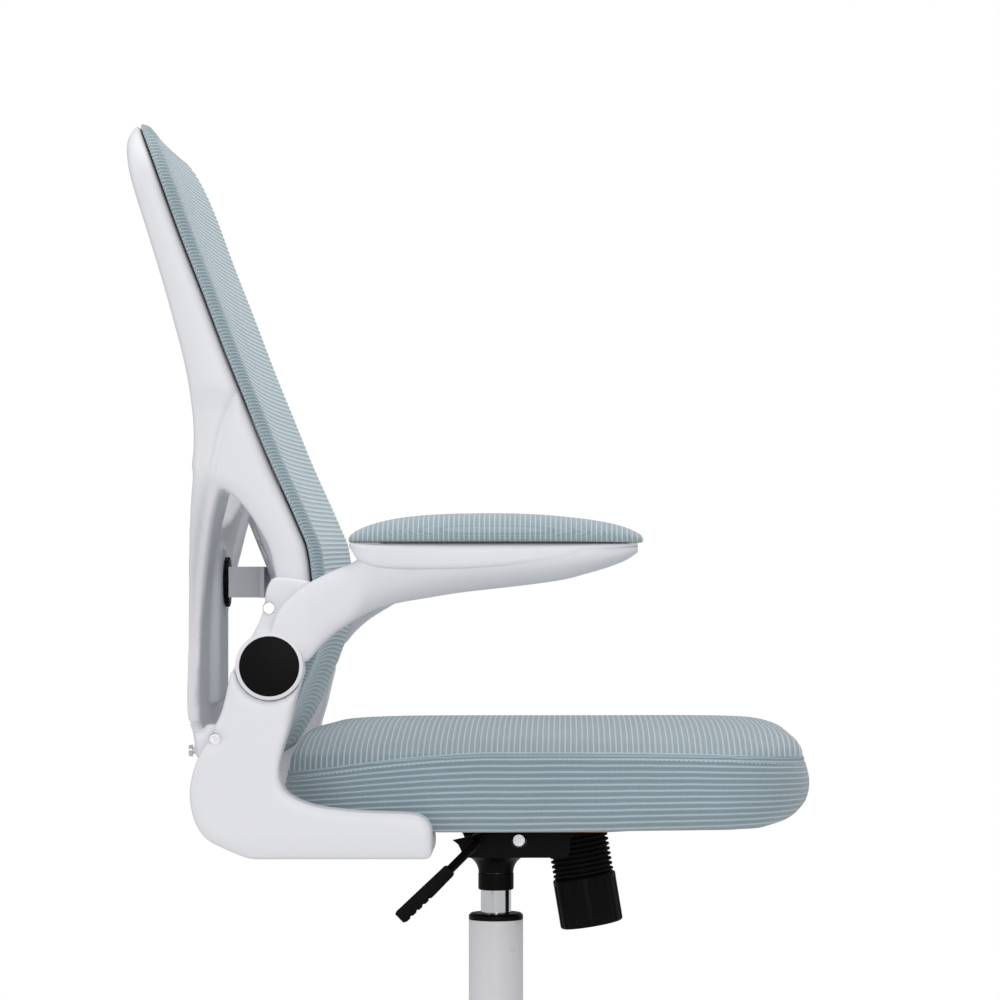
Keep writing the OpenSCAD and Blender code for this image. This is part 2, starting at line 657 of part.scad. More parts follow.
// Section of the arm: keel below, swelling to the tray's rim above
function arm_ring(q) = let (
        x = -pivot_x + arm_reach * q[0], z0 = pivot_z + arm_rise * q[1], z1 = pivot_z + arm_rise * q[2],
        tray = max(0, min(1, (q[0] - 0.2) / 0.08)), power = mix(3.2, 2.2, tray))
    [for (i = [0:1:keel_n - 1])
        let (a = 360 * (i + 0.5) / keel_n, c = cos(a), s = sin(a),
            up = s > 0 ? pow(s, 2 / mix(power, 7, tray)) : -pow(-s, 2 / power),
            wide = sign(c) * pow(abs(c), 2 / (s > 0 ? mix(3.2, 6, tray) : mix(3.2, 1.35, tray))),
            mid = mix((z0 + z1) / 2, z1 - 0.28 * (z1 - z0), tray))
        [x, arm_y + arm_half_w * q[3] * wide, up > 0 ? mid + up * (z1 - mid) : mid + up * (mid - z0)]];

module arm() {
    color(white)
    difference() {
        union() {
            skin([for (q = arm_shares) arm_ring(q)]);
            skin([for (q = tray_shares) tray_ring(q)]);
            translate([-pivot_x, arm_y + arm_hub_t / 2, pivot_z])
                rotate([90, 0, 0])
                    cylinder(d = hub_d, h = arm_hub_t, $fn = 96);
        }
        translate([-pivot_x, arm_y + arm_hub_t, pivot_z])
            rotate([90, 0, 0])
                cylinder(d = pivot_pin_d + 2 * run_fit, h = 2 * arm_hub_t);
        translate([-pivot_x, arm_y + arm_hub_t / 2 - cap_t, pivot_z])
            rotate([-90, 0, 0])
                cylinder(d = cap_d + 2 * run_fit, h = 2 * arm_hub_t);
    }
}
module arm_left() {
    arm();
}
module arm_right() {
    mirror([0, 1, 0])
        arm();
}

cap_t = 3.5;
cap_bevel = 0.6;
module pivot_cap() {
    color(black)
    translate([-pivot_x, arm_y + arm_hub_t / 2 - cap_t + run_fit, pivot_z])
        rotate([-90, 0, 0])
            rotate_extrude()
                polygon([[0, 0], [cap_d / 2, 0], [cap_d / 2, cap_t - cap_bevel],
                    [cap_d / 2 - cap_bevel, cap_t], [0, cap_t]]);
}
module pivot_cap_left() {
    pivot_cap();
}
module pivot_cap_right() {
    mirror([0, 1, 0])
        pivot_cap();
}

// Arm pad: share of its length against shares of its height and half width
pad_shares = [[0.0, 0.20, 0.20], [0.02, 0.38, 0.42], [0.055, 0.55, 0.62], [0.11, 0.72, 0.80], [0.19, 0.87, 0.92],
    [0.28, 0.95, 0.98], [0.38, 0.99, 1.0], [0.50, 1.0, 1.0], [0.62, 0.97, 1.0], [0.74, 0.88, 0.985],
    [0.84, 0.76, 0.93], [0.91, 0.62, 0.83], [0.955, 0.47, 0.68], [0.985, 0.32, 0.48], [1.0, 0.16, 0.24]];
pad_n = 18;
pad_share0 = 0.208;
pad_z = pivot_z + arm_rise * tray_top + seat_gap;
function pad_ring(q) = let (
        len_x = arm_reach * (1.01 - pad_share0), x = -pivot_x + arm_reach * pad_share0 + len_x * q[0],
        h = pad_h * 1.1 * q[1], w = pad_w / 2 * q[2])
    [for (i = [0:1:pad_n - 1])
        let (a = 360 * (i + 0.5) / pad_n, c = cos(a), s = sin(a), low = 0.3 * h)
        [x, arm_y + w * sign(c) * pow(abs(c), s > 0 ? 0.85 : 0.6),
            pad_z + (s > 0 ? low + (h - low) * pow(s, 0.95) : low * (1 - pow(-s, 0.45)))]];
module arm_pad() {
    color(mesh_blue)
    skin([for (q = pad_shares) pad_ring(q)]);
}
module arm_pad_left() {
    arm_pad();
}
module arm_pad_right() {
    mirror([0, 1, 0])
        arm_pad();
}

// Plan outline of the seat drawn in by d
seat_front_r = 86;
seat_rear_r = 60;
function seat_outline(d) =
    let (f = seat_front, b = -seat_rear, w = seat_half_w, r1 = seat_front_r, r0 = seat_rear_r)
    concat(
        arc(f - r1, w - r1, r1 - d, 0, 90, 8),
        [for (s = [0.75, 0.5, 0.25]) [mix(b + r0, f - r1, s), w - d]],
        arc(b + r0, w - r0, r0 - d, 90, 180, 6),
        [for (s = [0.5, 0, -0.5]) [b + d, s * (w - r0)]],
        arc(b + r0, r0 - w, r0 - d, 180, 270, 6),
        [for (s = [0.25, 0.5, 0.75]) [mix(b + r0, f - r1, s), d - w]],
        arc(f - r1, r1 - w, r1 - d, 270, 360, 8),
        [for (s = [-0.5, 0, 0.5]) [f - d, s * (w - r1)]]);

// Rings of the side band: share of the band drawn in all round, further share at the front, share of the rise
band_shares = [[0.16, 0.24, 0.0], [0.07, 0.20, 0.06], [0.02, 0.12, 0.18], [0.0, 0.035, 0.36], [0.0, 0.0, 0.62],
    [0.02, 0.02, 0.86], [0.04, 0.04, 1.0]];
// Rings of the crown: share of the band drawn in, share of the way from the seam up to the domed top
crown_shares = [[0.08, 0.55], [0.15, 0.85], [0.3, 0.96], [0.6, 1.0]];
dome_shares = [0.8, 0.55, 0.25];
// The underside lifts toward the front and the seam drops toward the rear
seat_lift = 7;
seam_fall = 0.28;
nose_x = 150;
dome_power = 2.4;
front_fall = 0.5;
rear_fall = 0.45;
rear_tight = 1.5;
function front_share(x) = max(0, x) / seat_front;
function rear_share(x) = max(0, -x) / seat_rear;
function nose_at(x) = pow(max(0, x - nose_x) / (seat_front - nose_x), 2);
function lift_at(x) = seat_lift * pow(front_share(x), 1.5);
function seam_at(x) = seat_z + seat_band_h * (1 - seam_fall * pow(rear_share(x), 1.6));
function top_at(x, y) = seat_z + seat_band_h + seat_crown * (1 - pow(abs(y) / seat_half_w, dome_power)
    - front_fall * pow(front_share(x), 6) - rear_fall * pow(rear_share(x), 4));
function band_pt(p, q) = [p[0] - q[1] * seat_band_h * nose_at(p[0]), p[1],
    mix(seat_z + lift_at(p[0]), seam_at(p[0]), q[2])];
function crown_pt(x, y, s) = [x, y,
    mix(seam_at(x), max(seam_at(x), top_at(x, y)), 1 - pow(1 - s, 1 + rear_tight * pow(rear_share(x), 4)))];
module seat_cushion() {
    color(cloth_blue)
    skin(concat(
            [for (z = [seat_z + seat_board_t + seat_gap, seat_z]) [for (p = seat_outline(board_in - seat_gap))
                [min(p[0], board_front + seat_gap), p[1], z]]],
            [for (q = band_shares) [for (p = seat_outline(q[0] * seat_band_h)) band_pt(p, q)]],
            [for (q = crown_shares) [for (p = seat_outline(q[0] * seat_band_h)) crown_pt(p[0], p[1], q[1])]],
            [for (k = dome_shares) [for (p = seat_outline(0.6 * seat_band_h))
                crown_pt(mix(seat_centre, p[0], k), p[1] * k, 1)]]));
}
seat_centre = (seat_front - seat_rear) / 2;
board_in = 26;
board_front_in = 32;
board_front = seat_front - board_front_in;
board_bend_x = 100;

module seat_board() {
    color(board_brown)
    difference() {
        translate([0, 0, seat_z])
            linear_extrude(height = seat_board_t)
                polygon([for (p = seat_outline(board_in)) [min(p[0], board_front), p[1]]]);
        rotate([90, 0, 0])
            linear_extrude(height = 3 * seat_half_w, center = true)
                polygon([[board_bend_x, seat_z], [seat_front, seat_z + 0.9 * seat_board_t], [seat_front, seat_z - over],
                    [board_bend_x, seat_z - over]]);
        for (side = [-1, 1])
            for (x = bolt_xs)
                translate([x, side * bracket_bolt_y, seat_z - over])
                    cylinder(d = bolt_d + 2 * run_fit, h = over + seat_board_t - bolt_hole_end);
        for (side = [-1, 1])
            for (x = plate_xs)
                translate([x, side * plate_bolt_y, seat_z - over])
                    cylinder(d = bolt_d + 2 * run_fit, h = over + seat_board_t - bolt_hole_end);
    }
}

// Seat plate: pressed top with two ears on the tilt pin
plate_xs = [-84, 80];
plate_bolt_y = 88;
plate_rear = 98;
plate_front = 96;
plate_half_w = 102;
plate_r = 16;
pin_z = seat_z - pin_drop;
ear_in = 6;
ear_r = 11;
module seat_plate() {
    color(black)
    difference() {
        union() {
            translate([0, 0, seat_z - steel_t])
                linear_extrude(height = steel_t)
                    difference() {
                        polygon(concat(
                            arc(plate_front - plate_r, plate_half_w - plate_r, plate_r, 0, 90, 6),
                            arc(plate_r - plate_rear, plate_half_w - plate_r, plate_r, 90, 180, 6),
                            arc(plate_r - plate_rear, plate_r - plate_half_w, plate_r, 180, 270, 6),
                            arc(plate_front - plate_r, plate_r - plate_half_w, plate_r, 270, 360, 6)));
                        for (side = [-1, 1])
                            translate([-plate_rear / 2, side * plate_half_w / 2])
                                circle(d = plate_half_w / 3);
                    }
            for (side = [-1, 1])
                translate([0, side * (mech_half_w - ear_in), 0])
                    rotate([90, 0, 0])
                        linear_extrude(height = steel_t, center = true)
                            polygon(concat(
                                [[pin_x + 1.65 * ear_r, seat_z - steel_t / 2],
                                    [pin_x - 2 * ear_r, seat_z - steel_t / 2]],
                                arc(pin_x, pin_z, ear_r, 190, 340, 10)));
        }
        translate([pin_x, 0, pin_z])
            rotate([90, 0, 0])
                cylinder(d = pin_d + 2 * run_fit, h = 4 * mech_half_w, center = true);
        for (side = [-1, 1])
            for (x = plate_xs)
                translate([x, side * plate_bolt_y, 0])
                    cylinder(d = bolt_d + 2 * run_fit, h = 2 * seat_z);
    }
}

module seat_bolts() {
    color(steel)
    for (side = [-1, 1])
        for (x = plate_xs)
            translate([x, side * plate_bolt_y, seat_z - steel_t])
                screw(seat_board_t + steel_t - bolt_end, bolt_d, bolt_head_d, bolt_head_h);
}

// Tilt housing: tray with high side walls, a raised front box over the spring and a funnel for the gas lift
tray_depth = 33;
box_depth = 8;
funnel_drop = 19;
socket_drop = 22;
wall_play = 1;
floor_z = seat_z - tray_depth;
box_floor_z = seat_z - box_depth;
tray_rear = 38;
tray_step_x = 44;
wall_front = 68;
box_front = 92;
box_half_w = 30;
wall_top = seat_z - steel_t - wall_play;
rear_top = pin_z;
funnel_z = floor_z - funnel_drop;
socket_top = seat_z - socket_drop;
socket_t = 4;
funnel_lip = 2;
funnel_r = 32;
tray_floor_x = -24;
wall_flare = 1.16;
// Curved ends of a side wall: shares of its reach from the gas lift and of the tray's depth above the floor
wall_rear_shares = [[0.93, 0.43], [0.86, 0.36], [0.81, 0.24], [0.76, 0.10], [0.68, 0.02], [0.6, 0]];
wall_front_shares = [[0.9, 0], [0.955, 0.02], [0.985, 0.08], [1, 0.2], [1, 0.45], [1.02, 0.57], [1.07, 0.66],
    [wall_flare, 0.71]];
module wall_outline() {
    polygon(concat(
        [[-tray_rear, rear_top]],
        [for (q = wall_rear_shares) [-tray_rear * q[0], floor_z + tray_depth * q[1]]],
        [for (q = wall_front_shares) [wall_front * q[0], floor_z + tray_depth * q[1]]],
        [[wall_flare * wall_front, wall_top], [pin_x - bolt_hole_end, wall_top]]));
}
module tray_outline() {
    polygon([[tray_floor_x, floor_z], [tray_step_x, floor_z], [tray_step_x, box_floor_z],
        [wall_front, box_floor_z], [wall_front, box_floor_z + steel_t], [tray_step_x - steel_t, box_floor_z + steel_t],
        [tray_step_x - steel_t, floor_z + steel_t], [tray_floor_x, floor_z + steel_t]]);
}
module tilt_housing() {
    color(black)
    difference() {
        union() {
            for (side = [-1, 1])
                translate([0, side * (mech_half_w - steel_t / 2), 0])
                    rotate([90, 0, 0])
                        linear_extrude(height = steel_t, center = true)
                            wall_outline();
            rotate([90, 0, 0])
                linear_extrude(height = 2 * mech_half_w - steel_t, center = true)
                    tray_outline();
            translate([tray_floor_x, -mech_half_w + steel_t / 2, floor_z])
                cube([steel_t, 2 * mech_half_w - steel_t, steel_t * 3]);
            difference() {
                translate([wall_front - steel_t, -box_half_w, box_floor_z])
                    cube([box_front - wall_front + steel_t, 2 * box_half_w, wall_top - box_floor_z]);
                translate([0, -box_half_w + steel_t, box_floor_z + steel_t])
                    cube([box_front - steel_t, 2 * (box_half_w - steel_t), over]);
            }
            rotate_extrude(convexity = 6)
                polygon(concat([[gas_d / 2 + funnel_lip, funnel_z]],
                    arc(funnel_r, funnel_z, funnel_r - gas_d / 2 - funnel_lip, 170, 100, 6),
                    [[funnel_r, floor_z], [funnel_r, floor_z + steel_t],
                    [gas_d / 2 + 2 * socket_t, floor_z + 2 * steel_t],
                    [gas_d / 2 + socket_t, socket_top], [gas_d / 4, socket_top], [gas_d / 4, funnel_z]]));
        }
        translate([0, 0, funnel_z - over])
            cylinder(d = gas_d + 2 * run_fit, h = 2 * over + socket_top - funnel_z);
        translate([pin_x, 0, pin_z])
            rotate([90, 0, 0])
                cylinder(d = pin_d + 2 * run_fit, h = 4 * mech_half_w, center = true);
        translate([-lever_x, -mech_half_w + over, lever_z])
            rotate([90, 0, 0])
                cylinder(d = sleeve_d + 2 * run_fit, h = 2 * over);
        for (x = [0, slot_run])
            translate([bolt_x(box_floor_z) + x, 0, box_floor_z])
                cylinder(d = bolt_slot_w, h = 2 * over, center = true);
        translate([bolt_x(box_floor_z), -bolt_slot_w / 2, box_floor_z - over])
            cube([slot_run, bolt_slot_w, 2 * over]);
    }
}
bolt_slot_w = 17;
slot_run = 3;

tilt_head_d = 14.2;
tilt_head_h = 3;
module tilt_pin() {
    color(steel)
    translate([pin_x, -mech_half_w, pin_z])
        rotate([-90, 0, 0]) {
            translate([0, 0, -tilt_head_h])
                cylinder(d = pin_d, h = 2 * mech_half_w + 2 * tilt_head_h);
            translate([0, 0, -tilt_head_h])
                cylinder(d1 = mix(pin_d, tilt_head_d, 0.4), d2 = tilt_head_d, h = tilt_head_h - run_fit);
            translate([0, 0, 2 * mech_half_w + run_fit])
                cylinder(d = mix(pin_d, tilt_head_d, 0.7), h = 0.7 * tilt_head_h);
        }
}

// Tension unit along a leaning axis
knob_x = 80.7;
knob_drop = 54;
knob_z = seat_z - knob_drop;
function bolt_x(z) = knob_x - (z - knob_z) * tan(knob_lean);
module on_bolt(h) {
    translate([bolt_x(knob_z), 0, knob_z])
        rotate([0, -knob_lean, 0])
            translate([0, 0, h])
                children();
}
boot_top = 40.7;
spring_wire = 5;
spring_d = 36;
spring_turns = 4.2;
nut_h = 8;
nut_nose = 3;
nut_play = 1;
spring_rise = 2;
bolt_top = seat_z - steel_t;
tension_d = 10;
knob_bolt_end = 3;
knob_floor = 8;
module tension_bolt() {
    color(steel)
    intersection() {
        on_bolt(-knob_h + knob_bolt_end)
            cylinder(d = tension_d, h = 4 * over + knob_h);
        translate([0, -over, 0])
            cube([2 * knob_x, 2 * over, bolt_top]);
    }
}

// Open coil between the housing and the nut
spring_steps = 8;
module tension_spring() {
    n = spring_turns * spring_steps * 2;
    z0 = -spring_gap_low;
    rise = boot_top + spring_rise - spring_wire + spring_gap_low;
    color(steel)
    on_bolt(z0 + spring_wire / 2)
        skin([for (i = [0:1:n])
            let (a = 360 * i / (2 * spring_steps), z = rise * i / n)
            [for (k = [0:1:5])
                let (r = spring_d / 2 + spring_wire / 2 * cos(60 * k))
                [r * cos(a), r * sin(a), z + spring_wire / 2 * sin(60 * k)]]]);
}
spring_gap_low = 6;

// Captive nut under the spring: it climbs the bolt as the knob turns
module spring_nut() {
    color(steel)
    on_bolt(-spring_gap_low - nut_h)
        difference() {
            union() {
                cylinder(d = spring_d + spring_wire + seat_gap, h = nut_h - seat_gap);
                cylinder(d = spring_d - spring_wire - 2 * nut_play, h = nut_h + nut_nose);
            }
            translate([0, 0, -over])
                cylinder(d = tension_d + 2 * run_fit, h = 3 * over);
        }
}

// Ribbed boot: rounded ribs on a thin wall
boot_ribs = 9;
boot_wall = 2.2;
boot_rib_h = 2.6;
module spring_boot() {
    pitch = boot_top / boot_ribs;
    root = boot_d / 2 - boot_rib_h;
    color(black)
    on_bolt(seat_gap)
        rotate_extrude(convexity = 10)
            polygon(concat(
                [for (i = [0:1:boot_ribs - 1]) each [[root, i * pitch], [boot_d / 2, (i + 0.25) * pitch],
                    [boot_d / 2, (i + 0.6) * pitch], [root, (i + 0.85) * pitch]]],
                [[root, boot_ribs * pitch], [root - boot_wall, boot_ribs * pitch], [root - boot_wall, 0]]));
}

// Fluted knob: a cup with grip flutes and notches round its lower rim
flutes = 18;
flute_d = 9;
flute_depth = 1;
knob_dome = 3;
knob_rim = 2;
knob_bore = 8;
module tension_knob() {
    color(black)
    on_bolt(-knob_h)
        difference() {
            rotate_extrude(convexity = 6)
                polygon(concat([[0, 0]], arc(knob_d / 2 - knob_dome, knob_dome, knob_dome, -90, 0, 6),
                    [[knob_d / 2, knob_h - knob_rim], [knob_d / 2 - knob_rim, knob_h], [0, knob_h]]));
            translate([0, 0, knob_floor])
                cylinder(d = spring_d + knob_bore, h = 2 * knob_h);
            translate([0, 0, -over])
                cylinder(d = tension_d + 2 * run_fit, h = 2 * knob_h);
            for (i = [0:1:flutes - 1])
                rotate(360 * i / flutes)
                    translate([(knob_d + flute_d) / 2 - flute_depth, 0, -over])
                        cylinder(d = flute_d, h = knob_h + over - 3 * knob_rim);
        }
}

// Seat height lever: sleeve in the housing wall, rod with a tongue over the valve, paddle handle
lever_x = 16;
lever_z = seat_z - pin_drop;
lever_d = 8;
sleeve_d = 11;
sleeve_l = 42;
lever_out = 104;
tongue_l = 28;
tongue_t = 3;
handle_l = 62;
handle_w = 14;
handle_t = 9;
module lever_sleeve() {
    color(black)
    translate([-lever_x, -mech_half_w + sleeve_l - steel_t - sleeve_out, lever_z])
        rotate([90, 0, 0])
            difference() {
                union() {
                    cylinder(d = sleeve_d, h = sleeve_l);
                    translate([0, 0, sleeve_l - sleeve_flange])
                        cylinder(d = sleeve_d + sleeve_flange / 2.5, h = sleeve_flange);
                }
                translate([0, 0, -over])
                    cylinder(d = lever_d + 2 * run_fit, h = 4 * over);
            }
}

sleeve_out = 17;
sleeve_flange = 4;
rod_drop = 20;
tongue_y = 22;
tongue_tip = 8;
// Shares of the rod's corners: behind the gas lift, out to the side and down
rod_shares = [[1, 0.03, 0], [1, 1, 0], [1.5, 1.2, 0.385], [2.9, 1.42, 1.455]];
module rod_between(a, b, d) {
    v = b - a;
    l = norm(v);
    translate(a)
        rotate([0, acos(v[2] / l), atan2(v[1], v[0])])
            cylinder(d = d, h = l);
}
function lever_pt(i) = let (q = rod_shares[i]) [-lever_x * q[0], -lever_out * q[1], lever_z - rod_drop * q[2]];
module lever_rod() {
    color(black)
    union() {
        for (i = [0:1:2])
            rod_between(lever_pt(i), lever_pt(i + 1), lever_d);
        for (i = [1, 2])
            translate(lever_pt(i))
                sphere(d = lever_d * 1.1);
        translate([-lever_x - lever_d / 4, tongue_y - tongue_l, lever_z + lever_d / 2 - tongue_t])
            cube([lever_x + tongue_tip + lever_d / 4, tongue_l, tongue_t]);
    }
}

// Paddle handle with a recessed panel and finger notches along its lower edge
handle_dip = 43.8;
panel_depth = 1;
handle_shares = [[0, 0.36], [0.03, 0.42], [0.97, 0.46], [1, 0.40], [1, -0.34], [0.95, -0.46], [0.42, -0.46], [0.03, -0.40],
    [0, -0.34]];
notch_shares = [0.5, 0.62, 0.74, 0.86];
notch_d = 4;
rod_in = 12;
module lever_handle() {
    tip = lever_pt(3);
    color(black)
    difference() {
        translate([tip[0], tip[1], tip[2]])
        rotate([0, -handle_dip, 0])
            rotate([90, 0, 180])
                difference() {
                    translate([0, 0, -handle_t / 2])
                        linear_extrude(height = handle_t)
                            difference() {
                                polygon([for (q = handle_shares) [handle_l * q[0] - rod_in, handle_w * q[1]]]);
                                for (q = notch_shares)
                                    translate([handle_l * q - rod_in, -handle_w * 0.52])
                                        circle(d = notch_d);
                            }
                    translate([handle_l * 0.16 - rod_in, -handle_w * 0.24, handle_t / 2 - panel_depth])
                        cube([handle_l * 0.5, handle_w * 0.5, over]);
                }
        rod_between(lever_pt(2), lever_pt(3), lever_d + 2 * run_fit);
    }
}

// Column: tube with a bottom plate, guide bush, thrust bearing, rod and gas cylinder
plate_t = 3;
bush_flange_h = 6;
bush_l = 90;
bush_edge = 2;
module outer_tube() {
    color(white)
    difference() {
        translate([0, 0, tube_z0])
            cylinder(d = tube_d, h = tube_z1 - tube_z0);
        translate([0, 0, tube_z0 + plate_t])
            cylinder(d = tube_d - 2 * tube_wall, h = tube_z1);
        translate([0, 0, tube_z0 - over])
            cylinder(d = 1.2 * rod_d, h = 2 * over);
    }
}

module guide_bush() {
    color(black)
    difference() {
        union() {
            translate([0, 0, tube_z1 - bush_l])
                cylinder(d = tube_d - 2 * tube_wall - 2 * run_fit, h = bush_l);
            translate([0, 0, tube_z1])
                rotate_extrude()
                    polygon([[0, 0], [tube_d / 2, 0], [tube_d / 2, bush_flange_h - bush_edge],
                        [tube_d / 2 - bush_edge, bush_flange_h], [0, bush_flange_h]]);
        }
        translate([0, 0, tube_z1 - bush_l - over])
            cylinder(d = gas_d + 2 * run_fit, h = bush_l + 3 * over);
    }
}

bearing_h = 6;
bearing_z = tube_z0 + plate_t;
module thrust_bearing() {
    color(steel)
    translate([0, 0, bearing_z])
        difference() {
            union() {
                cylinder(d = 3 * rod_d, h = bearing_h / 4);
                cylinder(d = 2.6 * rod_d, h = bearing_h);
                translate([0, 0, bearing_h * 3 / 4])
                    cylinder(d = 3 * rod_d, h = bearing_h / 4);
            }
            translate([0, 0, -over])
                cylinder(d = rod_d + 2 * run_fit, h = 3 * over);
        }
}

rod_top = 292;
piston_h = 14;
rod_end = 4;
clip_h = 3;
clip_play = 0.4;
cyl_z0 = 150;
cyl_drop = 21;
cyl_z1 = seat_z - cyl_drop;
cyl_bore = 22;
cyl_foot = 10;
cyl_head = 16;
valve_l = 12;
module piston_rod() {
    color(steel) {
        translate([0, 0, tube_z0 - rod_end])
            cylinder(d = rod_d, h = rod_top - tube_z0 + rod_end);
        translate([0, 0, bearing_z + bearing_h])
            cylinder(d = 2 * rod_d, h = bearing_h);
        translate([0, 0, tube_z0 - clip_h - clip_play])
            cylinder(d = 1.8 * rod_d, h = clip_h);
        translate([0, 0, rod_top - piston_h])
            cylinder(d = cyl_bore - 2 * run_fit, h = piston_h);
    }
}

module gas_cylinder() {
    color(steel)
    difference() {
        translate([0, 0, cyl_z0])
            cylinder(d = gas_d, h = cyl_z1 - cyl_z0);
        translate([0, 0, cyl_z0 + cyl_foot])
            cylinder(d = cyl_bore, h = cyl_z1 - cyl_z0 - cyl_foot - cyl_head);
        translate([0, 0, cyl_z0 - over])
            cylinder(d = rod_d + 2 * run_fit, h = 3 * over);
        translate([0, 0, cyl_z1 - valve_l])
            cylinder(d = valve_d + 2 * run_fit, h = over);
    }
}

valve_d = 8;
module valve_pin() {
    color(steel)
    translate([0, 0, cyl_z1 - 2 / 3 * valve_l])
        cylinder(d = valve_d, h = lever_z + lever_d / 2 - tongue_t - seat_gap - cyl_z1 + 2 / 3 * valve_l);
}

collar_h = 15.5;
collar_t = 2.3;
collar_edge = 1;
module cylinder_collar() {
    color(black)
    translate([0, 0, funnel_z - collar_h - seat_gap])
        difference() {
            rotate_extrude()
                polygon([[0, 0], [gas_d / 2 + collar_t - collar_edge, 0], [gas_d / 2 + collar_t, collar_edge],
                    [gas_d / 2 + collar_t, collar_h], [0, collar_h]]);
            translate([0, 0, -over])
                cylinder(d = gas_d + 2 * run_fit, h = 3 * over);
        }
}

// Five-star base
hub_r = 44;
hub_z0 = 62;
hub_z1 = 126;
leg_tip_z0 = 68;
leg_tip_z1 = 92;
leg_wall = 4;
hub_shares = [[0, 0], [0.93, 0], [1, 0.05], [1, 0.62], [0.91, 0.81], [0.77, 0.94], [0.7, 1], [0, 1]];
tip_r = 20;
// Top and underside of a leg: share of the leg's reach against share of the fall from the hub, and of the arch
leg_top_shares = [[0, 0.18], [0.142, 0.26], [0.36, 0.41], [0.58, 0.59], [0.80, 0.88], [1, 1]];
leg_arch_shares = [[1, 0], [0.80, 0.1], [0.47, 1], [0.142, 0], [0, -0.2]];
leg_arch = 10;
module leg_side(d) {
    reach = base_r + tip_r;
    polygon(concat(
        [for (q = leg_top_shares) [reach * q[0], mix(hub_z1, leg_tip_z1, q[1]) - d]],
        [for (q = leg_arch_shares) [reach * q[0], leg_tip_z0 + leg_arch * q[1] - 3 * d]]));
}
module leg_plan(d) {
    polygon(concat([[0, leg_w0 / 2 - d], [0, d - leg_w0 / 2]], [[0.3 * base_r, d - leg_w0 * 0.46]],
        arc(base_r, 0, leg_w1 * 0.53 - d, -90, 90, 12), [[0.3 * base_r, leg_w0 * 0.46 - d]]));
}
module leg_block(d) {
    intersection() {
        rotate([90, 0, 0])
            linear_extrude(height = 2 * leg_w0, center = true)
                leg_side(d);
        linear_extrude(height = 2 * hub_z1)
            leg_plan(d);
    }
}
module base_star() {
    color(white)
    difference() {
        union() {
            for (i = [0:1:4])
                rotate(72 * i)
                    difference() {
                        leg_block(0);
                        difference() {
                            leg_block(leg_wall);
                            translate([base_r, 0, 0])
                                cylinder(d = stem_d + 3 * leg_wall, h = 2 * hub_z1);
                            for (s = [0.4, 0.58, 0.76])
                                translate([s * base_r, -leg_w0 / 2, leg_tip_z0 + leg_arch])
                                    cube([0.75 * leg_wall, leg_w0, hub_z1]);
                        }
                    }
            translate([0, 0, hub_z0])
                rotate_extrude()
                    polygon([for (q = hub_shares) [hub_r * q[0], (hub_z1 - hub_z0) * q[1]]]);
        }
        translate([0, 0, hub_z0 - over])
            cylinder(d = tube_d + 2 * run_fit, h = hub_z1);
        for (i = [0:1:4])
            rotate(72 * i)
                translate([base_r, 0, leg_tip_z0 - over])
                    cylinder(d = stem_d + 2 * run_fit, h = over + stem_h);
    }
}

// Casters: steel stem and axle, hood over two wheels, trailing toward the column
trail = 18;
stem_h = 20;
hood_web = 13;
hood_t = 2.5;
axle_d = 6;
axle_inset = 5;
stem_foot = 14;
wheel_room = 1.6;
wheel_play = 0.5;
neck_t = 4.5;
neck_foot = 6;
hood_top = leg_tip_z0 - seat_gap;
module at_caster(i) {
    rotate(72 * (i - 1))
        translate([base_r, 0, 0])
            rotate(180)
                children();
}
module caster_stem(i) {
    color(steel)
    at_caster(i) {
        translate([0, 0, wheel_d / 2 + stem_foot])
            cylinder(d = stem_d, h = leg_tip_z0 + stem_h - seat_gap - wheel_d / 2 - stem_foot);
        translate([trail, 0, wheel_d / 2])
            rotate([90, 0, 0])
                cylinder(d = axle_d, h = 2 * (wheel_w - axle_inset) + hood_web, center = true);
    }
}
module caster_hood(i) {
    hood_w = 2 * (wheel_w + wheel_play) + hood_web;
    r = wheel_d / 2 + wheel_room;
    color(white)
    at_caster(i)
        difference() {
            union() {
                translate([trail, 0, wheel_d / 2])
                    rotate([90, 0, 0])
                        difference() {
                            cylinder(r = r + hood_t, h = hood_w, center = true);
                            for (s = [-1, 1])
                                translate([0, 0, s * (hood_w + hood_web) / 2])
                                    cylinder(r = r, h = hood_w, center = true);
                            translate([-2 * r, -2 * r - axle_d * 2 / 3, -hood_w])
                                cube([4 * r, 2 * r, 2 * hood_w]);
                        }
                translate([0, 0, wheel_d / 2 + neck_foot])
                    cylinder(d = stem_d + 2 * neck_t, h = hood_top - wheel_d / 2 - neck_foot);
            }
            for (s = [-1, 1])
                translate([trail, s * (wheel_w / 2 + hood_web / 2), wheel_d / 2])
                    rotate([90, 0, 0])
                        cylinder(r = r, h = wheel_w, center = true);
            translate([trail, 0, wheel_d / 2])
                rotate([90, 0, 0])
                    cylinder(d = axle_d + 2 * run_fit, h = 2 * hood_w, center = true);
            translate([0, 0, wheel_d / 2 + stem_foot - seat_gap])
                cylinder(d = stem_d + 2 * run_fit, h = 2 * over);
        }
}
// Half section of a wheel: shares of its radius against shares of its width
wheel_shares = [[0, 0], [0.95, 0], [1, 0.1], [1, 0.68], [0.93, 0.87], [0.8, 0.95], [0.5, 0.974], [0, 0.974]];
module caster_wheels(i) {
    color(black)
    at_caster(i)
        for (s = [-1, 1])
            translate([trail, s * (hood_web / 2 + wheel_play), wheel_d / 2])
                rotate([-s * 90, 0, 0])
                    difference() {
                        rotate_extrude()
                            polygon([for (q = wheel_shares) [wheel_d / 2 * q[0], wheel_w * q[1]]]);
                        translate([0, 0, -over])
                            cylinder(d = axle_d + 2 * run_fit, h = over + wheel_w - axle_inset + wheel_play);
                    }
}

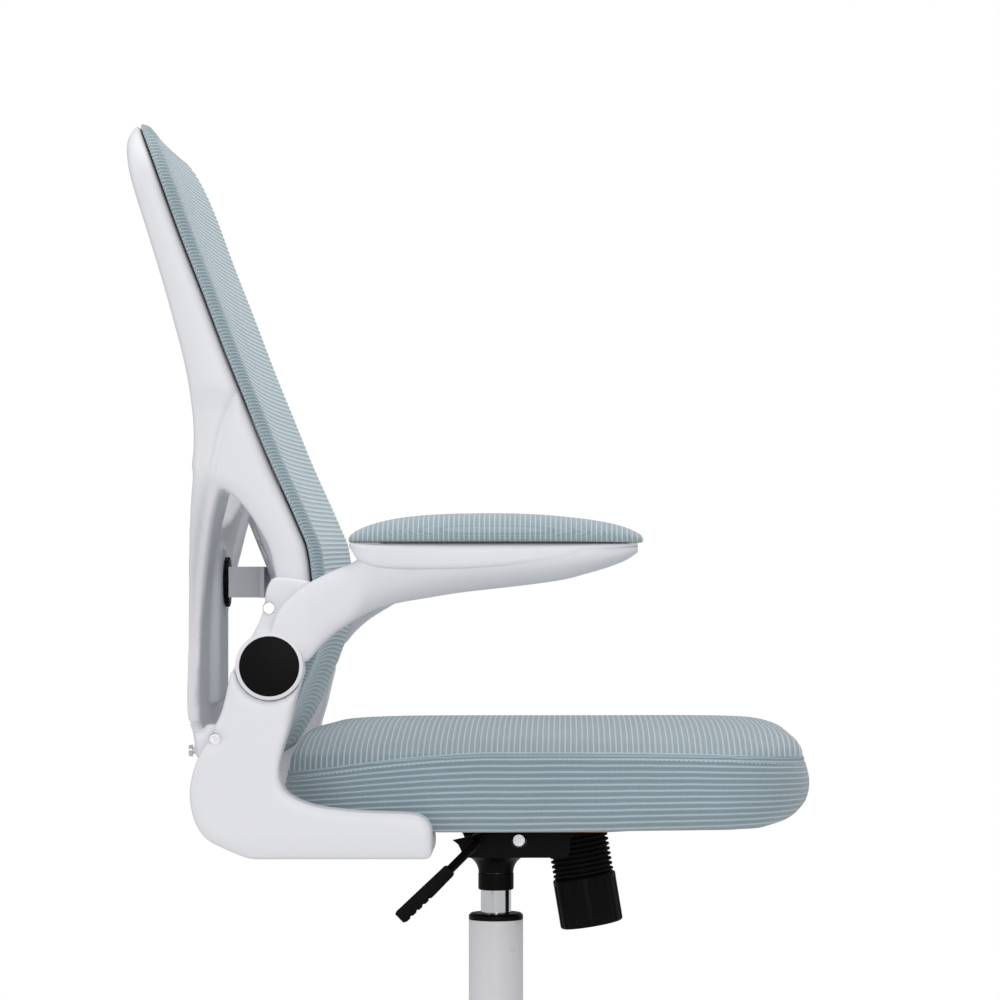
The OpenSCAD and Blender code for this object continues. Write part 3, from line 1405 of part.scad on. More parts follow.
base_star();
outer_tube();
guide_bush();
thrust_bearing();
piston_rod();
gas_cylinder();
cylinder_collar();
valve_pin();
tilt_housing();
seat_plate();
tilt_pin();
tension_bolt();
tension_spring();
spring_nut();
spring_boot();
tension_knob();
lever_sleeve();
lever_rod();
lever_handle();
seat_board();
seat_bolts();
seat_cushion();
back_frame();
mesh_rim();
back_mesh();
back_spine();
spine_screws();
lumbar_arm();
lumbar_disc();
lumbar_stud();
lumbar_pad();
arm_bracket_right();
arm_bracket_left();
bracket_bolts();
back_screws();
pivot_pins();
arm_right();
arm_left();
arm_pad_right();
arm_pad_left();
pivot_cap_right();
pivot_cap_left();
caster_stem(1);  // caster_stem_1
caster_stem(2);  // caster_stem_2
caster_stem(3);  // caster_stem_3
caster_stem(4);  // caster_stem_4
caster_stem(5);  // caster_stem_5
caster_hood(1);  // caster_hood_1
caster_hood(2);  // caster_hood_2
caster_hood(3);  // caster_hood_3
caster_hood(4);  // caster_hood_4
caster_hood(5);  // caster_hood_5
caster_wheels(1);  // caster_wheels_1
caster_wheels(2);  // caster_wheels_2
caster_wheels(3);  // caster_wheels_3
caster_wheels(4);  // caster_wheels_4
caster_wheels(5);  // caster_wheels_5
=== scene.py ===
"""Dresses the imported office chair: padded seat and armrests, ribbed back mesh with its sewn edge, moulded
shells, fittings, finishes, floor, light and camera. Lengths are in metres, +X forward, +Y to the sitter's
left, +Z up."""
import json
import math

import bmesh
import bpy
import numpy as np
from bpy.props import FloatProperty, FloatVectorProperty, PointerProperty
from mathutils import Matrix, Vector
from mathutils.bvhtree import BVHTree


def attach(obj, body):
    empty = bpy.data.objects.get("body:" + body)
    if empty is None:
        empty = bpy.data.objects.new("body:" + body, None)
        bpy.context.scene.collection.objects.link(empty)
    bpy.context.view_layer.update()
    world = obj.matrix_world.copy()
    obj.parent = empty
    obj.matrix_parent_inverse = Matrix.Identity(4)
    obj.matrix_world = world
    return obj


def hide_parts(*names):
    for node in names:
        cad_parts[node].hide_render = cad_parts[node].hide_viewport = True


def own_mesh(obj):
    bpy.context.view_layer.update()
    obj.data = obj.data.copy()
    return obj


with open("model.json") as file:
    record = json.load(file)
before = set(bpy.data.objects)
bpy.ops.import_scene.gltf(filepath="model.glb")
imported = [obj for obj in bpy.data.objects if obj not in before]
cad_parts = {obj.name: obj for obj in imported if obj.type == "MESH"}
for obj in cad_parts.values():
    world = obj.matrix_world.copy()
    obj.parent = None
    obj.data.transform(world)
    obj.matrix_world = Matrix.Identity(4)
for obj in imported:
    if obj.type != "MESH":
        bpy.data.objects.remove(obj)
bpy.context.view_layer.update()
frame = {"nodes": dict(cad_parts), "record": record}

bl_info = {
    "name": "Office chair dressing",
    "version": (1, 0, 0),
    "blender": (4, 5, 0),
    "location": "View3D > Sidebar > Chair",
    "description": "Builds the looks of a mesh-back office chair around its packed parts",
    "category": "Object",
}


# ---------------------------------------------------------------- numbers shared by several pieces
BACK_Z0, BACK_Z1 = 0.436, 1.000
BACK_H = BACK_Z1 - BACK_Z0
BACK_HALF, BACK_R = 0.225, 0.062
BACK_X0, BACK_RAKE, RAIL_DEPTH, RAIL_W = 0.150, 0.165, 0.036, 0.022
RAKE_TABLE = np.array([
    [0, 0.34], [0.03, 0.30], [0.07, 0.23], [0.12, 0.165], [0.175, 0.085], [0.215, 0.05], [0.285, 0.036],
    [0.305, 0.042], [0.34, 0.06], [0.377, 0.11], [0.42, 0.175], [0.475, 0.26], [0.575, 0.40], [0.64, 0.49],
    [0.74, 0.62], [0.83, 0.74], [0.91, 0.84], [0.948, 0.89], [0.975, 0.93], [1, 0.97]])
DEPTH_TABLE = np.array([
    [0, 0.72], [0.115, 0.72], [0.215, 0.78], [0.30, 0.86], [0.36, 0.95], [0.40, 1.08], [0.43, 1.35],
    [0.442, 1.7], [0.454, 1.97], [0.498, 1.67], [0.527, 1.49], [0.559, 1.33], [0.60, 1.16], [0.645, 1.03],
    [0.69, 0.95], [0.74, 0.87], [0.83, 0.75], [0.91, 0.68], [0.948, 0.57], [0.975, 0.39], [0.99, 0.2],
    [1, 0.08]])
SEAT_Z, SEAT_FRONT, SEAT_REAR, SEAT_HALF = 0.382, 0.281, 0.184, 0.240
SEAT_BAND, SEAT_CROWN = 0.070, 0.019
PIVOT = np.array([-0.1875, 0.276, 0.528])
ARM_REACH, ARM_RISE, ARM_Y = 0.316, 0.105, 0.276
TRAY_TOP, PAD_HALF, PAD_RISE = 0.995, 0.042, 0.0264


def through(x, xk, yk):
    """Smooth curve through the knots: cubic pieces whose end slopes are the harmonic mean of the chords'
    slopes, or zero where the chords change sign, so that it never swings past a knot."""
    xk, yk = np.asarray(xk, float), np.asarray(yk, float)
    h, d = np.diff(xk), np.diff(yk) / np.diff(xk)
    m = np.zeros_like(yk)
    same = d[1:] * d[:-1] > 0
    w1, w2 = 2 * h[1:] + h[:-1], h[1:] + 2 * h[:-1]
    safe = np.where(same, d[1:] * d[:-1], 1)
    m[1:-1] = np.where(same, (w1 + w2) * safe / np.where(same, w1 * d[1:] + w2 * d[:-1], 1), 0)
    m[0], m[-1] = d[0], d[-1]
    i = np.clip(np.searchsorted(xk, x) - 1, 0, len(h) - 1)
    t = np.clip((x - xk[i]) / h[i], 0, 1)
    return ((1 + 2 * t) * (1 - t) ** 2 * yk[i] + t * (1 - t) ** 2 * h[i] * m[i]
            + t * t * (3 - 2 * t) * yk[i + 1] + t * t * (t - 1) * h[i] * m[i + 1])


def power_round(angle, p):
    """Point of the curve |x|^p + |y|^p = 1 at an angle: each coordinate is the cosine or sine raised to
    2/p, sign kept."""
    c, s = np.cos(angle), np.sin(angle)
    return np.sign(c) * np.abs(c) ** (2 / p), np.sign(s) * np.abs(s) ** (2 / p)


def circle(count):
    """Angles evenly round a full turn."""
    return np.linspace(0, 2 * np.pi, count, endpoint=False)


def ramp(values, start, end):
    """Share of the way from start to end, held between 0 and 1."""
    return np.clip((values - start) / (end - start), 0, 1)


def ease(share):
    """Smooth step of a share: 3 t^2 - 2 t^3."""
    return share ** 2 * (3 - 2 * share)


def linked(name, data):
    """New object for a mesh, lamp or camera, in the scene."""
    obj = bpy.data.objects.new(name, data)
    bpy.context.scene.collection.objects.link(obj)
    return obj


def shade_smooth(mesh):
    """Smooth shading on every face."""
    mesh.polygons.foreach_set("use_smooth", np.ones(len(mesh.polygons), bool))


def bake(obj):
    """Replaces an object's mesh by what its modifiers make of it, and drops them."""
    mesh = bpy.data.meshes.new_from_object(obj.evaluated_get(bpy.context.evaluated_depsgraph_get()))
    obj.modifiers.clear()
    obj.data = mesh
    return mesh


def vertices_of(obj):
    """(n, 3) array of an object's vertex positions."""
    co = np.empty(len(obj.data.vertices) * 3, np.float32)
    obj.data.vertices.foreach_get("co", co)
    return co.reshape(-1, 3).astype(float)


def move_vertices(obj, co):
    """Puts an object's vertices at an (n, 3) array of positions."""
    obj.data.vertices.foreach_set("co", np.asarray(co).astype(np.float32).ravel())


def point_attribute(obj, name, values):
    """Stores one number per vertex under a name that a material can read."""
    store = obj.data.attributes.new(name, "FLOAT", "POINT")
    store.data.foreach_set("value", np.asarray(values, np.float32).ravel())


def mesh_piece(name, verts, faces, material=None, uv=None, smooth_angle=None):
    """Mesh object at the origin from an (n, 3) array and an (m, 4) face array. Faces are turned outward:
    the sum over triangles of a . (b x c) is six times the volume, and a negative one reverses every face."""
    verts, faces = np.asarray(verts, float), np.asarray(faces, np.int64)
    a, b = verts[faces[:, 0]], verts[faces[:, 1]]
    total = sum(np.einsum("ij,ij->", a, np.cross(verts[faces[:, k]], verts[faces[:, k + 1]]))
                for k in range(1, faces.shape[1] - 1))
    if total < 0:
        faces = faces[:, ::-1]
    mesh = bpy.data.meshes.new(name)
    mesh.vertices.add(len(verts))
    mesh.vertices.foreach_set("co", verts.astype(np.float32).ravel())
    mesh.loops.add(faces.size)
    mesh.loops.foreach_set("vertex_index", faces.astype(np.int32).ravel())
    mesh.polygons.add(len(faces))
    mesh.polygons.foreach_set("loop_start", np.arange(0, faces.size, faces.shape[1], dtype=np.int32))
    mesh.update(calc_edges=True)
    if uv is not None:
        layer = mesh.uv_layers.new(name="surface")
        layer.data.foreach_set("uv", np.asarray(uv, np.float32)[faces.ravel()].ravel())
    mesh.validate(clean_customdata=False)
    shade_smooth(mesh)
    if smooth_angle is not None:
        mesh.set_sharp_from_angle(angle=smooth_angle)
    if material is not None:
        mesh.materials.append(material)
    return linked(name, mesh)


def grid_faces(rows, cols, ring=True, loop=False):
    """Quads of a rows x cols grid of points. ring joins the last column to the first, loop the last row
    to the first."""
    i = np.arange(rows if loop else rows - 1)[:, None]
    j = np.arange(cols if ring else cols - 1)[None, :]
    i2, j2 = (i + 1) % rows, (j + 1) % cols
    return np.stack([i * cols + j, i * cols + j2, i2 * cols + j2, i2 * cols + j], -1).reshape(-1, 4)


def shell(name, grid, material=None, loop=False, smooth_angle=None):
    """Closed skin over a (rows, cols, 3) grid of rings. Unless looped, each end closes through smaller
    rings round the mean point of its ring and a strip of quads across the smallest."""
    if not loop:
        grid = np.concatenate([mid_rings(grid[0])[::-1], grid, mid_rings(grid[-1])])
    rows, cols = grid.shape[:2]
    faces = grid_faces(rows, cols, True, loop)
    if not loop:
        faces = close_ends(faces, rows, cols)
    return mesh_piece(name, grid.reshape(-1, 3), faces, material, ring_uv(grid), smooth_angle)


def mid_rings(ring, shares=(0.5, 0.12)):
    """Rings between an end ring and its mean point: mean plus a share of the way out."""
    centre = ring.mean(0)
    return np.stack([centre + s * (ring - centre) for s in shares])


def close_ends(faces, rows, cols):
    """Adds a strip of quads across the first and the last ring, joining point j to point n - 1 - j."""
    j = np.arange(cols // 2 - 1)
    strip = np.stack([j, j + 1, cols - 2 - j, cols - 1 - j], -1)
    return np.concatenate([faces, strip[:, ::-1], strip + (rows - 1) * cols])


def ring_uv(grid):
    """Metric UVs: u is the mean distance walked along the rings, v the distance walked round each ring."""
    step = np.linalg.norm(np.diff(grid, axis=0), axis=2).mean(1)
    u = np.concatenate([[0], np.cumsum(step)])
    round_ = np.linalg.norm(np.diff(grid, axis=1), axis=2)
    v = np.concatenate([np.zeros((len(grid), 1)), np.cumsum(round_, axis=1)], axis=1)
    return np.stack([np.broadcast_to(u[:, None], v.shape), v], -1).reshape(-1, 2)


UP_HINT = (0.13, 0.21, 0.97)


def cord_loop(name, path, radius, sides, material):
    """Round cord along a closed (n, 3) path: circles across the local direction, whose side axis is the
    cross product of the direction with a fixed hint of up."""
    along = np.roll(path, -1, 0) - np.roll(path, 1, 0)
    along /= np.linalg.norm(along, axis=1, keepdims=True)
    side = np.cross(along, UP_HINT)
    side /= np.linalg.norm(side, axis=1, keepdims=True)
    lift = np.cross(side, along)
    a = circle(sides)[None, :, None]
    grid = path[:, None] + radius * (np.cos(a) * side[:, None] + np.sin(a) * lift[:, None])
    return shell(name, grid, material, loop=True)


BEAD_AT = np.array([-1, -0.72, 0.0, 0.72, 1])
BEAD_THICK = np.array([0.12, 0.75, 1.0, 0.75, 0.12])
BEAD_SIDES = 6


def beads(name, points, along, normal, size, material):
    """A row of stitches as one mesh: a short six-sided spindle copied to each point, long along the
    thread, low across the surface: centre + x * along * length + y * across * width + z * normal * height."""
    a, rows, each = circle(BEAD_SIDES), len(BEAD_AT), len(BEAD_AT) * BEAD_SIDES
    ring = np.stack([np.repeat(BEAD_AT, BEAD_SIDES), (BEAD_THICK[:, None] * np.cos(a)).ravel(),
                     (BEAD_THICK[:, None] * np.sin(a)).ravel()], -1)
    ends = np.array([[0, 1, 4, 5], [1, 2, 3, 4]])
    faces = np.concatenate([grid_faces(rows, BEAD_SIDES), ends[:, ::-1], ends + each - BEAD_SIDES])
    across = np.cross(normal, along)
    across /= np.linalg.norm(across, axis=1, keepdims=True)
    verts = points[:, None] + sum(size[k] * ring[None, :, k:k + 1] * axis[:, None]
                                  for k, axis in enumerate((along, across, normal)))
    every = (faces[None] + each * np.arange(len(points))[:, None, None]).reshape(-1, 4)
    return mesh_piece(name, verts.reshape(-1, 3), every, material)


def walk(path, pitch):
    """Points and directions at an even pitch round a closed path, by linear steps of its length."""
    path = np.concatenate([path, path[:1]])
    step = np.linalg.norm(np.diff(path, axis=0), axis=1)
    s = np.concatenate([[0], np.cumsum(step)])
    count = max(2, int(round(s[-1] / pitch)))
    at = (np.arange(count) + 0.5) * s[-1] / count
    place = lambda where: np.stack([np.interp(where, s, path[:, k]) for k in range(3)], -1)
    along = place(np.minimum(at + 1e-4, s[-1])) - place(np.maximum(at - 1e-4, 0))
    return place(at), along / np.linalg.norm(along, axis=1, keepdims=True)


def onto(obj, points, reach=0.05):
    """Nearest points and outward normals of an object's surface."""
    tree = BVHTree.FromObject(obj, bpy.context.evaluated_depsgraph_get())
    hits = [tree.find_nearest(Vector(p), reach) for p in points]
    found = np.array([list(h[0]) if h[0] is not None else list(p) for h, p in zip(hits, points)])
    normal = np.array([list(h[1]) if h[1] is not None else (0, 0, 1) for h in hits])
    return found, normal


STITCH_LIFT = 0.0002


def sew(name, cloth, path, pitch, size, slot):
    """Row of stitches on a piece of cloth, along the points of its surface that are nearest to a path."""
    at, along = walk(path, pitch)
    at, normal = onto(cloth, at)
    row = beads(name, at + STITCH_LIFT * normal, along, normal, size, material_of("stitch_thread"))
    dress(row, "seat", slot)


# ---------------------------------------------------------------- shader groups, each built once
def wire(tree, *pairs):
    """Links pairs of sockets, output first."""
    for source, target in pairs:
        tree.links.new(source.socket if isinstance(source, Signal) else source, target)


class Signal:
    """A shader value. Python's arithmetic on it adds Math nodes to its tree."""

    def __init__(self, socket):
        self.socket = socket

    def maths(self, operation, *others, clamp=False):
        """Math node on this value and others, which are signals or plain numbers."""
        tree = self.socket.id_data
        node = tree.nodes.new("ShaderNodeMath")
        node.operation, node.use_clamp = operation, clamp
        for socket, value in zip(node.inputs, (self, *others)):
            if isinstance(value, Signal):
                tree.links.new(value.socket, socket)
            else:
                socket.default_value = value
        return Signal(node.outputs[0])

    def __add__(self, other):
        return self.maths("ADD", other)

    def __sub__(self, other):
        return self.maths("SUBTRACT", other)

    def __rsub__(self, other):
        return self.maths("MULTIPLY_ADD", -1.0, other)

    def __mul__(self, other):
        return self.maths("MULTIPLY", other)

    def __truediv__(self, other):
        return self.maths("DIVIDE", other)


def group(name, inputs, outputs):
    """New shader node group with its sockets. Returns the tree, its inputs as signals and its output node."""
    tree = bpy.data.node_groups.new(name, "ShaderNodeTree")
    for label, value in inputs.items():
        kind = "Float" if isinstance(value, float) else "Color"
        socket = tree.interface.new_socket(name=label, in_out="INPUT", socket_type="NodeSocket" + kind)
        socket.default_value = value if kind == "Float" else (*value, 1)
    for label in outputs:
        kind = "Color" if label == "Colour" else "Float"
        tree.interface.new_socket(name=label, in_out="OUTPUT", socket_type="NodeSocket" + kind)
    given = tree.nodes.new("NodeGroupInput")
    signals = {label: Signal(given.outputs[label]) for label in inputs}
    return tree, signals, tree.nodes.new("NodeGroupOutput")


def blend_colours(tree, factor, a, b):
    """Colour Mix node between two signals or colours."""
    node = tree.nodes.new("ShaderNodeMix")
    node.data_type = "RGBA"
    for socket, value in ((node.inputs[0], factor), (node.inputs[6], a), (node.inputs[7], b)):
        if isinstance(value, Signal):
            tree.links.new(value.socket, socket)
        else:
            socket.default_value = (*value, 1)
    return Signal(node.outputs[2])


def shaded(tree, colour, tone, out):
    """Sends a colour to a group's output, its brightness multiplied by a tone."""
    hsv = tree.nodes.new("ShaderNodeHueSaturation")
    wire(tree, (tone, hsv.inputs["Value"]), (colour, hsv.inputs["Color"]),
         (hsv.outputs["Color"], out.inputs["Colour"]))


def object_noise(tree, scale, detail=2.0, rough=0.5, stretch=(1, 1, 1)):
    """Noise over Object coordinates at a scale per metre, stretched per axis."""
    coords = tree.nodes.new("ShaderNodeTexCoord")
    mapping = tree.nodes.new("ShaderNodeMapping")
    mapping.inputs["Scale"].default_value = stretch
    noise = tree.nodes.new("ShaderNodeTexNoise")
    noise.inputs["Detail"].default_value = detail
    noise.inputs["Roughness"].default_value = rough
    if isinstance(scale, Signal):
        wire(tree, (scale, noise.inputs["Scale"]))
    else:
        noise.inputs["Scale"].default_value = scale
    wire(tree, (coords.outputs["Object"], mapping.inputs["Vector"]),
         (mapping.outputs["Vector"], noise.inputs["Vector"]))
    return Signal(noise.outputs["Fac"])


def moulding_group():
    """Moulded skin: a fine spark-eroded grain for the height, and a slow tone that moves colour and
    roughness a little."""
    tree, given, out = group("Moulded skin", {"Colour": (0.8, 0.8, 0.8), "Tone": 0.04, "Roughness": 0.4,
                                              "Grain scale": 1400.0}, ("Colour", "Roughness", "Height"))
    slow = object_noise(tree, 9.0, 3.0)
    grain = object_noise(tree, given["Grain scale"], 1.0)
    patch = object_noise(tree, 38.0, 4.0, 0.62)
    shaded(tree, given["Colour"], (slow - 0.5) * given["Tone"] + 1.0, out)
    rough = given["Roughness"].maths("ADD", (patch - 0.5) * 0.16, clamp=True)
    wire(tree, (rough, out.inputs["Roughness"]), (grain * 0.8 + patch * 0.2, out.inputs["Height"]))
    return tree


def wave(signal, operation):
    """Cosine or sine of a phase, raised to run from 0 to 1."""
    return signal.maths(operation) * 0.5 + 0.5


def rib_group():
    """Ribbed cloth: narrow raised cords across Run over a wider ground knitted with small holes along
    Along. A cord is a raised cosine to a power, the holes are the product of two sines, and the height is
    the cord less the holes."""
    tree, given, out = group("Ribbed cloth", {
        "Run": 0.0, "Along": 0.0, "Pitch": 0.0044, "Thread": 0.0011, "Rib colour": (0.6, 0.68, 0.72),
        "Valley colour": (0.2, 0.26, 0.29), "Unevenness": 0.1}, ("Colour", "Height", "Hole", "Roughness"))
    wander = (object_noise(tree, 26.0) - 0.5) * 0.0007
    phase = (given["Run"] + wander) / given["Pitch"] * (2 * math.pi)
    cord = wave(phase, "COSINE").maths("POWER", 2.6)
    ground = 1.0 - cord
    thread = wave(given["Along"] / given["Thread"] * (2 * math.pi), "SINE")
    hole = thread * wave(phase * 4.0, "COSINE") * ground
    fleck = (object_noise(tree, 520.0, 2.0, 0.7) - 0.5) * 0.22
    slow = (object_noise(tree, 14.0, 3.0) - 0.5) * given["Unevenness"]
    tint = blend_colours(tree, ground, given["Rib colour"], given["Valley colour"])
    shaded(tree, tint, fleck + 1.0 + slow - hole * 0.42, out)
    wire(tree, (cord - hole * 0.22, out.inputs["Height"]), (hole, out.inputs["Hole"]),
         (ground * 0.15 + 0.76, out.inputs["Roughness"]))
    return tree


def brushed_group():
    """Drawn or turned metal: fine streaks along one axis, from noise stretched across it, for roughness and
    height, and a painted reflection: a slower noise darkens the colour toward a dark grey in patches, standing
    in for darker surroundings seen in the metal."""
    tree, given, out = group("Drawn metal", {"Colour": (0.7, 0.7, 0.72), "Roughness": 0.25},
                             ("Colour", "Roughness", "Height"))
    streak = object_noise(tree, 60.0, 3.0, 0.6, (14, 14, 0.6))
    # Painted reflection: the noise on the next line darkens the metal's colour toward a dark grey in patches,
    # standing in for darker surroundings seen in the metal.
    painted_reflection = object_noise(tree, 30.0, 3.0, 0.6)
    tint = blend_colours(tree, painted_reflection * 0.28, given["Colour"], (0.36, 0.36, 0.38))
    rough = given["Roughness"].maths("ADD", (streak - 0.5) * 0.2, clamp=True)
    wire(tree, (tint, out.inputs["Colour"]), (rough, out.inputs["Roughness"]), (streak, out.inputs["Height"]))
    return tree


PLY_THICK = 0.0029


def ply_group():
    """Plywood: long figure on the faces from noise stretched along X, and thin dark and light plies
    across Z."""
    tree, given, out = group("Plywood", {"Light": (0.55, 0.41, 0.25), "Dark": (0.32, 0.21, 0.11)},
                             ("Colour", "Height"))
    figure = object_noise(tree, 22.0, 5.0, 0.6, (1, 9, 9))
    coords = tree.nodes.new("ShaderNodeTexCoord")
    split = tree.nodes.new("ShaderNodeSeparateXYZ")
    wire(tree, (coords.outputs["Object"], split.inputs[0]))
    ply = (Signal(split.outputs[2]) * (2 * math.pi / PLY_THICK)).maths("SINE").maths("GREATER_THAN", 0.2)
    mix = (figure * 0.8).maths("ADD", ply * 0.25, clamp=True)
    wire(tree, (blend_colours(tree, mix, given["Light"], given["Dark"]), out.inputs["Colour"]),
         (figure, out.inputs["Height"]))
    return tree


GROUPS = {}


def place_group(tree, build, **values):
    """Group node with its own values, given by socket name with underscores for spaces. The group is
    built the first time that it is asked for."""
    if build not in GROUPS:
        GROUPS[build] = build()
    node = tree.nodes.new("ShaderNodeGroup")
    node.node_tree = GROUPS[build]
    for key, value in values.items():
        socket = node.inputs[key.replace("_", " ")]
        if isinstance(value, Signal):
            wire(tree, (value, socket))
        else:
            socket.default_value = (*value, 1) if hasattr(value, "__len__") else value
    return node


def finish(name, metallic=0.0, specular=0.5, coat=0.0, sheen=0.0, roughness=0.5):
    """Empty material with a Principled shader whose plain numbers are set on its own sockets."""
    material = bpy.data.materials.new(name)
    material.use_nodes = True
    shader = material.node_tree.nodes["Principled BSDF"]
    for key, value in (("Metallic", metallic), ("Specular IOR Level", specular), ("Coat Weight", coat),
                       ("Coat Roughness", 0.1), ("Sheen Weight", sheen), ("Sheen Roughness", 0.6),
                       ("Roughness", roughness)):
        shader.inputs[key].default_value = value
    return material, material.node_tree, shader


def cover(tree, shader, node, strength, distance):
    """Feeds a group to the shader: its colour, its roughness if it has one, and its height through Bump."""
    bump = tree.nodes.new("ShaderNodeBump")
    bump.inputs["Strength"].default_value = strength
    bump.inputs["Distance"].default_value = distance
    wire(tree, (node.outputs["Colour"], shader.inputs["Base Color"]),
         (node.outputs["Height"], bump.inputs["Height"]), (bump.outputs["Normal"], shader.inputs["Normal"]))
    if "Roughness" in node.outputs:
        wire(tree, (node.outputs["Roughness"], shader.inputs["Roughness"]))


def moulded(name, colour, rough, grain, depth, tone, **extras):
    """Moulded plastic, rubber or paint over the Moulded skin group."""
    material, tree, shader = finish(name, **extras)
    cover(tree, shader, place_group(tree, moulding_group, Colour=colour, Tone=tone, Roughness=rough,
                                    Grain_scale=grain), 0.5, depth)
    return material


def drawn(name, colour, rough):
    """Bare or plated metal over the Drawn metal group."""
    material, tree, shader = finish(name, metallic=1.0)
    cover(tree, shader, place_group(tree, brushed_group, Colour=colour, Roughness=rough), 0.12, 0.00003)
    return material


def plywood(name):
    """Raw plywood over the Plywood group."""
    material, tree, shader = finish(name, specular=0.2, roughness=0.8)
    cover(tree, shader, place_group(tree, ply_group), 0.4, 0.0002)
    return material


def attribute(tree, name):
    """Reads a per-vertex number stored with point_attribute."""
    node = tree.nodes.new("ShaderNodeAttribute")
    node.attribute_name = name
    return Signal(node.outputs["Fac"])


THREAD_PITCH, UNEVENNESS, SHADOW_SHARE = 0.0012, 0.12, 0.3


def ribbed(name, rib, valley, pitch, depth, open_share=0.0, two_panels=False):
    """Ribbed cloth that reads 'run' across the ribs and 'along' down them, both in metres. With an open
    share, the deepest part of each hole lets light through, and more of it to shadows than to the camera.
    With two panels, 'above' chooses between them and a second pair."""
    material, tree, shader = finish(name, specular=0.25, sheen=0.35)
    run, along = attribute(tree, "run"), attribute(tree, "along")
    if two_panels:
        top = attribute(tree, "above").maths("GREATER_THAN", 0.0)
        run, along = (attribute(tree, key + "_top") * top + value * (1.0 - top)
                      for key, value in (("run", run), ("along", along)))
    node = place_group(tree, rib_group, Run=run, Along=along, Pitch=pitch, Thread=THREAD_PITCH,
                       Rib_colour=rib, Valley_colour=valley, Unevenness=UNEVENNESS)
    cover(tree, shader, node, 0.9, depth)
    if open_share:
        solid = Signal(node.outputs["Hole"]).maths("LESS_THAN", 1 - open_share)
        seen = Signal(tree.nodes.new("ShaderNodeLightPath").outputs["Is Camera Ray"])
        wire(tree, (solid * (seen * (1 - SHADOW_SHARE) + SHADOW_SHARE), shader.inputs["Alpha"]))
    return material


WHEEL_BLACK, THREAD_GREY = (0.045, 0.045, 0.05), (0.5, 0.57, 0.6)
BARE_STEEL, CHROME = (0.66, 0.66, 0.68), (0.86, 0.87, 0.89)
EDGE_PITCH_SHARE = 0.68
MATERIALS = {}


def recipes(s):
    """Maker and values of each slot's material. A moulded one has its colour, roughness, grain per metre,
    depth of grain and tone; a ribbed one its rib and valley colours, pitch and depth of rib."""
    piping = [0.5 * (r + v) for r, v in zip(s.seat_rib, s.seat_valley)]
    return {
        "white_plastic": (moulded, s.shell_colour, 0.42, 900.0, 0.00005, 0.03),
        "white_nylon": (moulded, s.shell_colour, 0.46, 700.0, 0.00008, 0.04),
        "white_paint": (moulded, s.shell_colour, 0.3, 420.0, 0.00006, 0.02, {"coat": 0.15}),
        "black_plastic": (moulded, s.black_colour, 0.42, 1500.0, 0.00007, 0.3, {"specular": 0.05}),
        "black_rubber": (moulded, s.black_colour, 0.62, 1200.0, 0.00008, 0.4, {"specular": 0.08}),
        "black_steel": (moulded, s.black_colour, 0.34, 600.0, 0.0001, 0.3, {"specular": 0.05}),
        "wheel_plastic": (moulded, WHEEL_BLACK, 0.38, 1100.0, 0.00005, 0.3),
        "seat_piping": (moulded, piping, 0.8, 2400.0, 0.0001, 0.3, {"specular": 0.2}),
        "stitch_thread": (moulded, THREAD_GREY, 0.8, 2400.0, 0.0001, 0.3, {"specular": 0.2}),
        "bright_steel": (drawn, BARE_STEEL, 0.3),
        "chrome_tube": (drawn, CHROME, 0.12),
        "plywood": (plywood,),
        "seat_fabric": (ribbed, s.seat_rib, s.seat_valley, s.seat_pitch, 0.0008, {"two_panels": True}),
        "pad_fabric": (ribbed, s.pad_rib, s.pad_valley, s.pad_pitch, 0.0007),
        "back_mesh_fabric": (ribbed, s.mesh_rib, s.mesh_valley, s.mesh_pitch, 0.0004, {"open_share": 0.3}),
        "edge_tape": (ribbed, s.edge_rib, s.edge_valley, EDGE_PITCH_SHARE * s.mesh_pitch, 0.0005),
    }


def material_of(slot):
    """The finished material of a slot, built from the panel's colours the first time."""
    if slot not in MATERIALS:
        maker, *values = recipes(bpy.context.scene.chair_finish)[slot]
        extras = values.pop() if values and isinstance(values[-1], dict) else {}
        MATERIALS[slot] = maker(slot, *values, **extras)
    return MATERIALS[slot]


def paint(obj, slot):
    """Gives a piece the material of one slot and no other."""
    obj.data.materials.clear()
    obj.data.materials.append(material_of(slot))


# ---------------------------------------------------------------- shapes
def rake_at(z):
    """Front face of the back frame: distance behind the lift plus the rake's share at that height."""
    return -BACK_X0 - BACK_RAKE * through((z - BACK_Z0) / BACK_H, *RAKE_TABLE.T)


def depth_at(z):
    """Depth of the moulding's rail at a height, out to where the spine's shoulder flows into it."""
    return RAIL_DEPTH * through((z - BACK_Z0) / BACK_H, *DEPTH_TABLE.T)


def rounded_loop(half, z0, z1, r, count):
    """Loop of a rounded upright rectangle as (count, 2) of y and z, evenly walked: straight runs and
    quarter circles."""
    a = np.linspace(0, np.pi / 2, 24)
    quarter = lambda cy, cz, turn: np.stack([cy + r * np.cos(a + turn), cz + r * np.sin(a + turn)], -1)
    corners = np.concatenate([quarter(half - r, z0 + r, -np.pi / 2), quarter(half - r, z1 - r, 0),
                              quarter(r - half, z1 - r, np.pi / 2), quarter(r - half, z0 + r, np.pi)])
    loop = np.concatenate([corners, corners[:1]])
    s = np.concatenate([[0], np.cumsum(np.linalg.norm(np.diff(loop, axis=0), axis=1))])
    at = np.linspace(0, s[-1], count, endpoint=False)
    return np.stack([np.interp(at, s, loop[:, k]) for k in range(2)], -1)


def inset_loop(d, count):
    """Outline of the back drawn in by d."""
    return rounded_loop(BACK_HALF - d, BACK_Z0 + d, BACK_Z1 - d, BACK_R - d, count)


MESH_AHEAD, MESH_HOLLOW = 0.0125, 0.005


def mesh_face(y, z):
    """Front face of the stretched mesh: ahead of the frame by the rim and the tape, hollowed toward the
    middle."""
    return rake_at(z) + MESH_AHEAD - MESH_HOLLOW * (1 - (y / BACK_HALF) ** 2)


